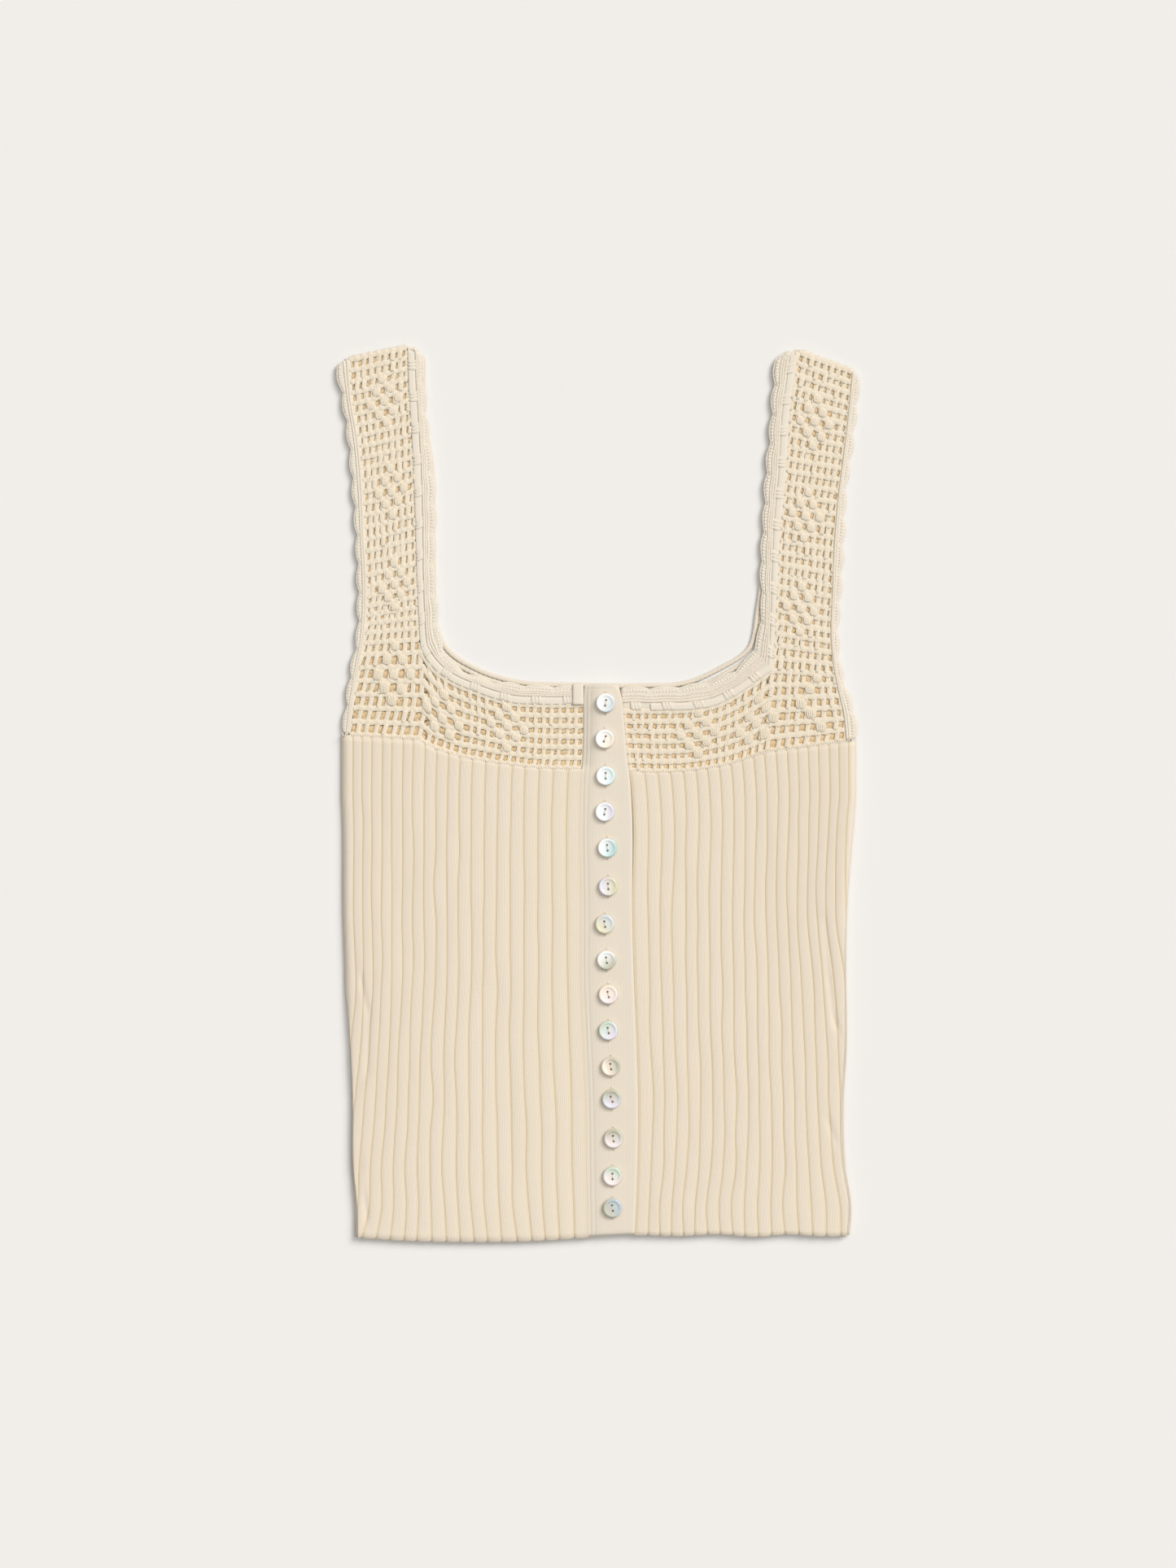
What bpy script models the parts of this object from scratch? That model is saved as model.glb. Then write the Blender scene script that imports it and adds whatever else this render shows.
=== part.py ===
"""A buttoned crochet top laid flat: a filet-crochet yoke with straps over a wide-rib body.

Each piece that is worked, cut or sewn on is one closed wall. The top lies on z = 0 with its shoulders
toward +Y and its front up, and "left" and "right" are those of someone who looks down on it.
Every length in this file is in millimetres; MM turns it into Blender's metres.
"""

import math
from collections import namedtuple

import bmesh
import bpy
import numpy as np

MM = 0.001

# Layers, from the surface it lies on up to the buttons.
SEAM_GAP = 0.3
BACK_THICK = 2.0
FRONT_FLOOR = BACK_THICK + SEAM_GAP
NET_THICK = 1.6
PUFF_HEIGHT = 1.3
RIB_GROOVE = 1.6
RIB_CROWN = 2.8
BAND_THICK = 1.6
TAPE_THICK = 1.0
OVER_FLOOR = FRONT_FLOOR + BAND_THICK + SEAM_GAP
BUTTON_FLOOR = OVER_FLOOR + BAND_THICK + SEAM_GAP

# Filet crochet: cells are counted from the armhole edge, rows from the shoulder fold.
STRAP_CELLS = 8
NET_ROWS = 33
BAND_FIRST_ROW = 27
PUFF_REACH = 2

# How a strap rolls over the shoulder and down to the surface, in lines from the lowest one up, as (reach past
# the fold, share of the inner height, share of the outer height).
FOLD = ((1.8, 0.0, 0.0), (2.4, 0.5, 0.5), (1.7, 0.87, 0.85))

# Crocheted edgings, as (share of the width from the net to the free edge, height).
SCALLOP_PITCH = 17.0
SCALLOP_DEPTH = 1.2
SCALLOP_MEAN = 0.6
SCALLOP_STEPS = 4
SHOULDER_DROP = 3.0
SHOULDER_ROUND = 2.5
NECK_PROFILE = ((0.0, 1.6), (0.5, 1.6), (0.8, 1.9), (1.0, 0.9))
ARM_PROFILE = ((0.0, 1.6), (0.5, 1.8), (1.0, 0.9))
BACK_INSET = 1.0

# The tape in the beading row of the neck edging.
TAPE_FROM_NET = 0.3
TAPE_WIDTH = 4.3
TAPE_END = ((-14.3, 51.5), (-8.3, 51.5), (-8.3, 63.6), (-14.3, 63.6))

# Wide ribs on each front, as (share of a rib's width, share of its rise).
RIBS = 20
RIB_SHAPE = ((0.0, 0.0), (0.15, 0.85), (0.5, 1.0), (0.85, 0.85))
RIB_STEP = 22.0
ROLL_SPREAD = 0.3
ROLL_START = 0.6
ROLL_DROP = 0.7
HEM_BULGE = 1.0

# The back, which ends inside the shoulder folds.
BACK_NECK_STEPS = 48
BACK_SIDE_STEPS = 11
BACK_SEAM_STEPS = 30
BACK_STOP_ROW = 0.6

# The buttonhole band in section, as (distance from its sewn edge, inner height, outer height) and, for the
# free edge, the same measured back from it.
OVER_SEWN = (
    (0.0, FRONT_FLOOR, FRONT_FLOOR + 2.2),
    (1.5, FRONT_FLOOR, FRONT_FLOOR + 2.8),
    (3.2, FRONT_FLOOR, FRONT_FLOOR + 3.2),
    (4.8, OVER_FLOOR, OVER_FLOOR + BAND_THICK),
)
OVER_FREE = ((1.2, OVER_FLOOR, OVER_FLOOR + BAND_THICK), (0.0, OVER_FLOOR + 0.2, OVER_FLOOR + 0.9))
UNDER_START = 5.6
BAND_STEP = 12.0
CORNER_ROWS = 3

# Buttons: where each one lies, and how many degrees its pair of holes is turned.
BUTTON_RADIUS = 5.5
BUTTON_THICK = 2.2
BUTTON_SECTION = (
    (0.0, 0.0),
    (BUTTON_RADIUS - 0.7, 0.0),
    (BUTTON_RADIUS, BUTTON_THICK / 2),
    (BUTTON_RADIUS - 0.7, BUTTON_THICK),
    (BUTTON_RADIUS - 2.2, BUTTON_THICK - 0.5),
    (0.0, BUTTON_THICK - 0.6),
)
BUTTON_HOLE = 1.4
BUTTON_HOLE_SPACING = 3.2
BUTTON_HOLE_SIDES = 8
BUTTON_SIDES = 18
Button = namedtuple("Button", "x y turn")
BUTTONS = (
    Button(5.0, 52.5, -10), Button(4.5, 31.5, -21), Button(5.0, 10.0, 0), Button(4.5, -11.0, -11),
    Button(6.0, -32.0, 6), Button(6.5, -54.5, 5), Button(4.5, -76.5, 9), Button(5.5, -97.5, 10),
    Button(6.5, -117.5, 13), Button(6.5, -138.5, 12), Button(8.0, -159.5, 10), Button(8.5, -178.5, 21),
    Button(9.5, -201.5, 8), Button(9.0, -223.5, 2), Button(9.0, -242.0, 10),
)

# One row for each section down a strap: the height of its middle, the strap's armhole edge, the net's two
# edges, and how much the crochet rows climb toward +X. Below the neck corner, net_neck is the line of the
# strap's last column of meshes.
Strap = namedtuple("Strap", "y arm net_arm net_neck climb")
LEFT_STRAP = (
    Strap(256.6, -153.0, -145.0, -111.0, 0.21),
    Strap(235.5, -149.0, -143.5, -110.5, 0.26),
    Strap(211.5, -145.5, -139.5, -109.0, 0.25),
    Strap(183.0, -143.0, -137.0, -107.5, 0.24),
    Strap(154.5, -141.0, -136.0, -106.5, 0.25),
    Strap(121.0, -140.0, -134.5, -105.5, 0.22),
    Strap(92.5, -140.5, -136.0, -104.0, 0.08),
    Strap(69.0, -144.5, -140.0, -102.0, 0.0),
    Strap(49.5, -147.0, -143.0, -102.0, -0.03),
    Strap(33.0, -149.0, -144.5, -104.0, -0.06),
)
RIGHT_STRAP = (
    Strap(252.0, 153.0, 149.3, 117.5, -0.37),
    Strap(233.0, 151.5, 147.6, 114.8, -0.32),
    Strap(220.0, 150.3, 146.5, 112.9, -0.23),
    Strap(200.0, 148.0, 144.1, 111.6, -0.2),
    Strap(183.0, 145.5, 142.0, 110.5, -0.16),
    Strap(154.5, 144.0, 139.1, 107.5, -0.16),
    Strap(121.0, 142.0, 137.6, 105.6, -0.19),
    Strap(92.5, 140.5, 137.0, 104.0, -0.15),
    Strap(76.0, 142.0, 138.4, 102.9, -0.1),
    Strap(60.0, 145.5, 140.3, 101.8, 0.02),
    Strap(45.0, 150.0, 139.3, 100.5, 0.06),
    Strap(29.0, 151.5, 137.0, 100.0, 0.13),
)

# Where some of the rows lie down the middle of each strap.
Row = namedtuple("Row", "row y")
LEFT_ROWS = (
    Row(0, 256.6), Row(4.5, 228.2), Row(12.5, 175.9), Row(20.5, 120.8), Row(27, 81.5), Row(28.5, 69.5),
    Row(33, 33.0),
)
RIGHT_ROWS = (
    Row(0, 252.0), Row(5.5, 216.1), Row(13.5, 161.8), Row(21.5, 107.4), Row(25.5, 80.7), Row(29.5, 52.6),
    Row(33, 27.5),
)

# How the band's top line and its foot drop from the strap to the placket, as shares of the way across and of
# the drop.
Fall = namedtuple("Fall", "across top foot")
LEFT_FALL = (
    Fall(0.0, 0.0, 0.0), Fall(0.07, 0.3, 0.24), Fall(0.15, 0.5, 0.4), Fall(0.25, 0.66, 0.58),
    Fall(0.35, 0.78, 0.68), Fall(0.45, 0.89, 0.78), Fall(0.55, 0.97, 0.85), Fall(0.7, 1.0, 0.95),
    Fall(1.0, 1.0, 1.0),
)
RIGHT_FALL = (
    Fall(0.0, 0.0, 0.0), Fall(0.07, 0.19, 0.18), Fall(0.15, 0.4, 0.37), Fall(0.25, 0.64, 0.6),
    Fall(0.35, 0.83, 0.75), Fall(0.45, 0.94, 0.86), Fall(0.55, 0.98, 0.96), Fall(0.7, 1.0, 1.03),
    Fall(1.0, 1.0, 1.0),
)

# The neck edge of each front and of the back, from the shoulder folds round the corners.
Spot = namedtuple("Spot", "x y")
LEFT_NECK = (
    Spot(-102.0, 257.5), Spot(-101.0, 235.5), Spot(-99.0, 211.5), Spot(-96.0, 188.0), Spot(-95.0, 159.0),
    Spot(-95.5, 130.5), Spot(-94.0, 109.0), Spot(-92.0, 92.5), Spot(-88.0, 81.0), Spot(-79.0, 72.0),
    Spot(-63.5, 66.0), Spot(-44.5, 63.4), Spot(-16.0, 62.3), Spot(-7.5, 62.0),
)
RIGHT_NECK = (
    Spot(104.0, 255.5), Spot(102.5, 235.5), Spot(100.5, 207.0), Spot(98.5, 188.0), Spot(97.0, 159.0),
    Spot(95.5, 130.5), Spot(96.0, 109.0), Spot(94.0, 92.5), Spot(89.5, 81.0), Spot(83.0, 74.0),
    Spot(74.5, 68.5), Spot(61.0, 64.2), Spot(46.0, 62.3), Spot(15.5, 62.0),
)
BACK_NECK = (
    Spot(-101.0, 255.0), Spot(-100.0, 217.0), Spot(-96.0, 194.0), Spot(-95.0, 154.5), Spot(-94.5, 119.5),
    Spot(-93.0, 97.0), Spot(-87.0, 85.5), Spot(-70.5, 74.0), Spot(-44.5, 66.0), Spot(-16.0, 64.5),
    Spot(24.0, 64.5), Spot(50.5, 66.0), Spot(69.5, 74.0), Spot(87.0, 85.5), Spot(93.0, 110.0),
    Spot(97.0, 159.0), Spot(100.5, 197.5), Spot(103.0, 235.5), Spot(104.0, 252.0),
)

# The seam across the back between its yoke and its ribs, which dips as the fronts' seams do.
BACK_SEAM = (
    Spot(-149.0, 34.0), Spot(-104.0, 30.0), Spot(-84.0, 23.2), Spot(-65.0, 18.9), Spot(-45.0, 16.0),
    Spot(-12.0, 14.2), Spot(22.0, 13.2), Spot(42.0, 12.4), Spot(62.0, 14.0), Spot(80.0, 17.9),
    Spot(96.0, 23.1), Spot(112.0, 25.9), Spot(151.0, 31.5),
)

# Down the centre front: the edges of the two fronts, and the free edge of the buttonhole band.
Centre = namedtuple("Centre", "y left right free")
CENTRE = (
    Centre(63.3, -7.0, 15.5, 8.8),
    Centre(62.3, -7.1, 15.5, 10.8),
    Centre(60.4, -7.2, 15.5, 12.8),
    Centre(57.0, -7.5, 15.5, 14.1),
    Centre(45.0, -7.5, 15.7, 15.5),
    Centre(20.0, -8.0, 18.5, 17.7),
    Centre(7.0, -9.0, 20.5, 19.3),
    Centre(-12.0, -9.5, 22.0, 20.5),
    Centre(-69.5, -9.0, 21.5, 20.5),
    Centre(-107.5, -9.0, 22.5, 21.5),
    Centre(-145.5, -7.5, 24.0, 23.0),
    Centre(-183.5, -6.0, 25.0, 24.0),
    Centre(-221.5, -5.5, 24.5, 23.5),
    Centre(-259.5, -5.0, 23.0, 22.0),
)
NET_END = {"left": (51.4, 14.4), "right": (47.8, 13.0)}
BAND_CELLS = {"left": 20, "right": 17}

# One row for each section down a front: its side, the width of its first rib by the placket, and how many
# ribs show before the rest roll round the side.
Rib = namedtuple("Rib", "y side first ribs")
LEFT_RIBS = (
    Rib(7.0, -149.0, 8.6, 20.0),
    Rib(-12.0, -148.0, 8.6, 20.0),
    Rib(-69.5, -147.5, 8.8, 20.0),
    Rib(-107.5, -146.5, 8.8, 20.0),
    Rib(-145.5, -143.5, 9.3, 19.0),
    Rib(-183.5, -142.5, 9.3, 18.0),
    Rib(-221.5, -142.5, 9.3, 17.4),
    Rib(-240.5, -140.5, 9.1, 17.0),
    Rib(-259.5, -140.5, 8.5, 16.3),
)
RIGHT_RIBS = (
    Rib(7.0, 151.0, 7.7, 19.5),
    Rib(-12.0, 149.5, 7.6, 19.6),
    Rib(-69.5, 145.0, 7.6, 19.0),
    Rib(-107.5, 144.5, 7.4, 18.0),
    Rib(-145.5, 145.0, 7.1, 17.6),
    Rib(-183.5, 143.0, 7.1, 17.0),
    Rib(-221.5, 144.5, 6.8, 16.7),
    Rib(-240.5, 147.5, 6.3, 16.6),
    Rib(-259.5, 146.5, 6.6, 16.4),
)
HEM = (
    Spot(-140.5, -259.0), Spot(-106.5, -261.0), Spot(-73.0, -261.5), Spot(-39.5, -261.0), Spot(-6.5, -259.0),
    Spot(22.0, -257.5), Spot(50.5, -258.0), Spot(69.5, -257.0), Spot(93.5, -258.5), Spot(112.5, -257.0),
    Spot(127.0, -258.0), Spot(146.5, -258.0),
)

# The diamonds of puffs on each front, by the cell and row at their middle, and the puffs of an unfinished one
# at the right underarm.
LEFT_DIAMONDS = ((4, 4), (4, 12), (4, 20), (4, 28), (10, 30), (18, 29))
RIGHT_DIAMONDS = ((4, 5), (4, 13), (4, 21), (9, 30), (16, 29))
CHEVRON = ((2, 27), (3, 28), (4, 29), (3, 30), (2, 31))


def course(stations, values):
    """A smooth function of a table's stations, whichever way they run."""
    order = np.argsort(stations)
    at = np.array(stations, float)[order]
    value = np.array(values, float)[order]
    slope = np.gradient(value, at)

    def read(place):
        place = min(max(place, at[0]), at[-1])
        i = min(max(int(np.searchsorted(at, place)) - 1, 0), len(at) - 2)
        span = at[i + 1] - at[i]
        t = (place - at[i]) / span
        rise = value[i + 1] - value[i]
        start, end = slope[i] * span, slope[i + 1] * span
        return float(value[i] + t * (start + t * (3 * rise - 2 * start - end + t * (start + end - 2 * rise))))

    return read


def column(rows, name):
    """The smooth course of one named column of a table, by height."""
    return course([row.y for row in rows], [getattr(row, name) for row in rows])


def even(points, steps):
    """Points at even steps along the straight runs of a line."""
    reach = np.cumsum([0.0, *(math.dist(a, b) for a, b in zip(points, points[1:]))])
    places = np.linspace(0.0, reach[-1], steps + 1)
    x = np.interp(places, reach, [point[0] for point in points])
    y = np.interp(places, reach, [point[1] for point in points])
    return [Spot(float(a), float(b)) for a, b in zip(x, y)]


def down(top, foot, step):
    """Heights from the top to the foot at even steps of about the given size."""
    return np.linspace(top, foot, round((top - foot) / step) + 1)


def eased(spots, steps):
    """Points at even steps along the smooth line through a table's spots."""
    reach = np.cumsum([0.0, *(math.dist(a, b) for a, b in zip(spots, spots[1:]))])
    x = course(reach, [spot.x for spot in spots])
    y = course(reach, [spot.y for spot in spots])
    return [Spot(x(s), y(s)) for s in np.linspace(0.0, reach[-1], steps + 1)]


def finish(name, colour, roughness):
    """The plain finish of one kind of piece."""
    material = bpy.data.materials.new(name)
    material.use_nodes = True
    shader = material.node_tree.nodes["Principled BSDF"]
    shader.inputs["Base Color"].default_value = (*colour, 1.0)
    shader.inputs["Roughness"].default_value = roughness
    return material


def add_object(name, bm, material):
    """Adds a bmesh, made in millimetres, as an object whose faces point outward."""
    bmesh.ops.recalc_face_normals(bm, faces=bm.faces)
    bmesh.ops.scale(bm, vec=(MM, MM, MM), verts=bm.verts)
    mesh = bpy.data.meshes.new(name)
    bm.to_mesh(mesh)
    bm.free()
    mesh.materials.append(material)
    obj = bpy.data.objects.new(name, mesh)
    bpy.context.scene.collection.objects.link(obj)
    return obj


def wall(name, cells, pairs, material):
    """A closed wall: each key of its cells has a pair of points, one on the inner side and one on the outer."""
    bm = bmesh.new()
    low = {key: bm.verts.new(ends[0]) for key, ends in pairs.items()}
    high = {key: bm.verts.new(ends[1]) for key, ends in pairs.items()}
    rim = {}
    for cell in cells:
        bm.faces.new([high[key] for key in cell])
        bm.faces.new([low[key] for key in reversed(cell)])
        for a, b in zip(cell, (*cell[1:], cell[0])):
            if (b, a) in rim:
                del rim[b, a]
            else:
                rim[a, b] = True
    for a, b in rim:
        bm.faces.new([low[a], low[b], high[b], high[a]])
    bm.normal_update()
    bmesh.ops.triangulate(bm, faces=bm.faces)
    return add_object(name, bm, material)


def pair(x, y, low, high):
    """The two points of a wall that stands straight up."""
    return (x, y, low), (x, y, high)


def rolled(line):
    """Lines of pairs that roll a strap's first line over the shoulder and down to the surface."""
    return [
        [((x, y, FRONT_FLOOR * inner), (x, y + reach, high * outer)) for (x, y, _), (_, _, high) in line]
        for reach, inner, outer in FOLD
    ]


def sheet_wall(name, lines, material):
    """A wall over lines that all have as many pairs."""
    count = len(lines[0])
    cells = [
        ((r, c), (r, c + 1), (r + 1, c + 1), (r + 1, c))
        for r in range(len(lines) - 1)
        for c in range(count - 1)
    ]
    return wall(name, cells, {(r, c): p for r, line in enumerate(lines) for c, p in enumerate(line)}, material)


def flat_wall(name, outline, low, high, material):
    """A flat panel with the given outline."""
    keys = tuple(range(len(outline)))
    return wall(name, [keys], {key: pair(*outline[key], low, high) for key in keys}, material)


class Front:
    """Where one front's chart of meshes lies, for all that is worked along it."""

    def __init__(self, side, straps, rows, fall, neck):
        self.arm = column(straps, "arm")
        self.net_arm = column(straps, "net_arm")
        self.net_neck = column(straps, "net_neck")
        self.climb = column(straps, "climb")
        self.foot = straps[-1].y
        self.height = course([row.row for row in rows], [row.y for row in rows])
        self.fall_top = course([part.across for part in fall], [part.top for part in fall])
        self.fall_foot = course([part.across for part in fall], [part.foot for part in fall])
        self.centre = column(CENTRE, side)
        self.cells = STRAP_CELLS + BAND_CELLS[side]
        self.end_top, self.end_foot = NET_END[side]
        self.neck = neck

    def across_strap(self, x_of, row):
        """A point of a strap on one of its courses, in the row's slant."""
        y = self.height(row)
        x = x_of(y)
        return Spot(x, y + self.climb(y) * (x - (self.net_arm(y) + self.net_neck(y)) / 2))

    def strap_point(self, cell, row):
        """A point of the strap's net."""
        share = cell / STRAP_CELLS
        return self.across_strap(lambda y: self.net_arm(y) * (1 - share) + self.net_neck(y) * share, row)

    def point(self, cell, row):
        """A point of the whole net, which turns from the strap into the band above the ribs."""
        if cell <= STRAP_CELLS:
            return self.strap_point(cell, row)
        start = self.strap_point(STRAP_CELLS, row)
        drop = (row - BAND_FIRST_ROW) / (NET_ROWS - BAND_FIRST_ROW)
        end_y = self.end_top + (self.end_foot - self.end_top) * drop
        share = (cell - STRAP_CELLS) / (self.cells - STRAP_CELLS)
        fall = self.fall_top(share) * (1 - drop) + self.fall_foot(share) * drop
        return Spot(start.x + (self.centre(end_y) - start.x) * share, start.y + (end_y - start.y) * fall)

    def neck_side(self):
        """The net's edge along the neck edging."""
        down = [self.point(STRAP_CELLS, row) for row in range(BAND_FIRST_ROW + 1)]
        return down + [self.point(cell, BAND_FIRST_ROW) for cell in range(STRAP_CELLS + 1, self.cells + 1)]

    def seam(self):
        """The height of the net's foot over x, where the ribs are sewn on."""
        foot = [self.across_strap(self.arm, NET_ROWS)]
        foot += [self.point(cell, NET_ROWS) for cell in range(0, self.cells + 1)]
        return course([spot.x for spot in foot], [spot.y for spot in foot])


def diamond(centre):
    """The cells of one diamond of puffs: every other cell within reach of its middle, above the last row."""
    reach = range(-PUFF_REACH, PUFF_REACH + 1)
    return {
        (centre[0] + a, centre[1] + r)
        for r in reach
        for a in reach
        if abs(a) + abs(r) <= PUFF_REACH and (a + r) % 2 == 0 and centre[1] + r < NET_ROWS - 1
    }


def front_yoke(name, front, puffs, material):
    """A front's net with its raised puffs, rolled over the shoulder at the top of the strap."""
    places = [0.0, *(cell + 0.5 for cell in range(front.cells)), float(front.cells)]
    rows = [0.0, *(row + 0.5 for row in range(NET_ROWS)), float(NET_ROWS)]
    rows.insert(BAND_FIRST_ROW + 1, float(BAND_FIRST_ROW))
    places.insert(STRAP_CELLS + 1, float(STRAP_CELLS))
    pairs = {}
    for r, row in enumerate(rows):
        for c, cell in enumerate(places):
            if cell <= STRAP_CELLS or row >= BAND_FIRST_ROW:
                raised = PUFF_HEIGHT if cell % 1 and row % 1 and (int(cell), int(row)) in puffs else 0.0
                pairs[r, c] = pair(*front.point(cell, row), FRONT_FLOOR, FRONT_FLOOR + NET_THICK + raised)
    strap = range(STRAP_CELLS + 2)
    for r, line in enumerate(rolled([pairs[0, c] for c in strap])):
        for c, points in zip(strap, line):
            pairs[r - len(FOLD), c] = points
    corners = [((r, c), (r, c + 1), (r + 1, c + 1), (r + 1, c)) for r, c in pairs]
    return wall(name, [cell for cell in corners if all(key in pairs for key in cell)], pairs, material)


def edging(name, free, sewn, profile, material):
    """A crocheted edging from the net's edge to its own scalloped free edge, rolled over the shoulder."""
    lines = []
    for i, (edge, start) in enumerate(zip(free, sewn)):
        width = math.dist(edge, start)
        scallop = SCALLOP_DEPTH * (abs(math.sin(math.pi * i / SCALLOP_STEPS)) - SCALLOP_MEAN)
        line = []
        for share, height in profile:
            reach = (SEAM_GAP + (width + scallop - SEAM_GAP) * share) / width
            x = start.x + (edge.x - start.x) * reach
            y = start.y + (edge.y - start.y) * reach
            line.append(pair(x, y, FRONT_FLOOR, FRONT_FLOOR + height))
        lines.append(line)
    return sheet_wall(name, [*rolled(lines[0]), *lines], material)


def scallop_steps(points):
    """How many steps give a line of points whole scallops."""
    length = sum(math.dist(a, b) for a, b in zip(points, points[1:]))
    return round(length / SCALLOP_PITCH) * SCALLOP_STEPS


def neck_lines(front):
    """The free and the sewn edge of a front's neck edging, step by step."""
    steps = scallop_steps(front.neck)
    free, sewn = eased(front.neck, steps), even(front.neck_side(), steps)
    free[0] = Spot(free[0].x + math.copysign(SHOULDER_ROUND, free[0].x), free[0].y)
    return free, sewn


def arm_lines(front):
    """The free and the sewn edge of a front's armhole edging, step by step."""
    steps = scallop_steps([front.strap_point(0, 0), front.strap_point(0, NET_ROWS)])
    rows = [NET_ROWS * i / steps for i in range(steps + 1)]
    free = [front.across_strap(front.arm, row) for row in rows]
    free[0] = Spot(free[0].x, free[0].y - SHOULDER_DROP)
    return free, [front.strap_point(0, row) for row in rows]


def tape(name, front, stop, material):
    """The tape that runs beside the net along the neck, up to the step where it stops."""
    free, sewn = neck_lines(front)
    low = FRONT_FLOOR + NECK_PROFILE[0][1] + SEAM_GAP
    lines = []
    for edge, start in zip(free[:stop], sewn[:stop]):
        width = math.dist(edge, start)
        line = []
        for reach in (TAPE_FROM_NET / width, (TAPE_FROM_NET + TAPE_WIDTH) / width):
            x = start.x + (edge.x - start.x) * reach
            y = start.y + (edge.y - start.y) * reach
            line.append(pair(x, y, low, low + TAPE_THICK))
        lines.append(line)
    return sheet_wall(name, lines, material)


def rib_place(section, centre, rib):
    """Where a point counted in ribs from the placket lies across one section of a front."""
    width = abs(section.side - centre) - ROLL_SPREAD * (RIBS - section.ribs)
    taper = 2 * (section.ribs * section.first - width) / (section.ribs * (section.ribs - 1))
    shown = min(rib, section.ribs)
    reach = shown * section.first - taper * shown * (shown - 1) / 2 + ROLL_SPREAD * (rib - shown)
    return centre + math.copysign(reach, section.side - centre)


def front_rib(name, front, rows, material):
    """A front of wide round ribs from the yoke's seam to the hem, over a plain inside."""
    side, first, ribs = (column(rows, label) for label in ("side", "first", "ribs"))
    seam_y = front.seam()
    hem_y = course([spot.x for spot in HEM], [spot.y for spot in HEM])
    heights = [rows[0].y, *down(rows[0].y - RIB_STEP / 3, rows[-1].y, RIB_STEP)]
    lines = []
    for i, y in enumerate(heights):
        section = Rib(y, side(y), first(y), ribs(y))
        line = []
        for rib in range(RIBS + 1):
            for share, rise in RIB_SHAPE if rib < RIBS else RIB_SHAPE[:1]:
                place = rib + share
                x = rib_place(section, front.centre(y), place)
                past = max(0.0, (place - section.ribs + ROLL_START) / (RIBS - section.ribs + ROLL_START))
                height = RIB_GROOVE + (RIB_CROWN - RIB_GROOVE) * rise * (1 - past)
                height *= 1 - ROLL_DROP * past**2
                at = y
                if i == 0:
                    at = seam_y(x) - SEAM_GAP
                elif i == len(heights) - 1:
                    at = hem_y(x) - HEM_BULGE * rise
                line.append(pair(x, at, FRONT_FLOOR, FRONT_FLOOR + height))
        lines.append(line)
    return sheet_wall(name, lines, material)


def placket_over(name, material):
    """The buttonhole band, stepped up from the front it is sewn to onto the button band."""
    left, free = column(CENTRE, "left"), column(CENTRE, "free")
    hem_y = course([spot.x for spot in HEM], [spot.y for spot in HEM])
    foot = CENTRE[-1].y
    lines = []
    for y in (*(row.y for row in CENTRE[:CORNER_ROWS]), *down(CENTRE[CORNER_ROWS].y, foot, BAND_STEP)):
        line = []
        for reach, low, high in OVER_SEWN:
            line.append((left(y) + SEAM_GAP + reach, low, high))
        for reach, low, high in OVER_FREE:
            line.append((free(y) - reach, low, high))
        lines.append([pair(x, hem_y(x) if y == foot else y, low, high) for x, low, high in line])
    return sheet_wall(name, lines, material)


def placket_under(name, material):
    """The button band, flat under the buttonhole band."""
    left, right = column(CENTRE, "left"), column(CENTRE, "right")
    lines = []
    for y in down(CENTRE[0].y, CENTRE[-1].y + HEM_BULGE, BAND_STEP):
        edges = left(y) + UNDER_START, right(y) - SEAM_GAP
        lines.append([pair(x, y, FRONT_FLOOR, FRONT_FLOOR + BAND_THICK) for x in edges])
    return sheet_wall(name, lines, material)


def back_seam(start, end):
    """Points along the seam between the back's yoke and its ribs."""
    seam_y = course([spot.x for spot in BACK_SEAM], [spot.y for spot in BACK_SEAM])
    return [(x, seam_y(x)) for x in np.linspace(start, end, BACK_SEAM_STEPS + 1)]


def back_yoke(name, left, right, material):
    """The back's net with both of its straps, one flat U."""

    def side(front, inset):
        rows = np.linspace(NET_ROWS - 1, BACK_STOP_ROW, BACK_SIDE_STEPS)
        edge = [front.across_strap(front.arm, row) for row in rows]
        shoulder = front.strap_point(STRAP_CELLS, 0)
        return [*((spot.x + inset, spot.y) for spot in edge), (shoulder.x, shoulder.y - 2 * SEAM_GAP)]

    outline = [*side(left, BACK_INSET)]
    outline += [(spot.x, spot.y) for spot in eased(BACK_NECK, BACK_NECK_STEPS)]
    outline += [*reversed(side(right, -BACK_INSET))]
    ends = right.arm(right.foot) - BACK_INSET, left.arm(left.foot) + BACK_INSET
    outline += [(x, y + SEAM_GAP) for x, y in back_seam(*ends)]
    return flat_wall(name, outline, 0.0, BACK_THICK, material)


def back_rib(name, material):
    """The back of the body, flat where the top lies on it."""
    left, right = column(LEFT_RIBS, "side"), column(RIGHT_RIBS, "side")
    heights = [*down(LEFT_RIBS[0].y, LEFT_RIBS[-2].y, RIB_STEP)]
    outline = [(left(y), y) for y in heights]
    outline += [(spot.x, spot.y) for spot in HEM]
    outline += [(right(y), y) for y in reversed(heights)]
    outline += back_seam(RIGHT_RIBS[0].side, LEFT_RIBS[0].side)
    return flat_wall(name, outline, 0.0, BACK_THICK, material)


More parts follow.
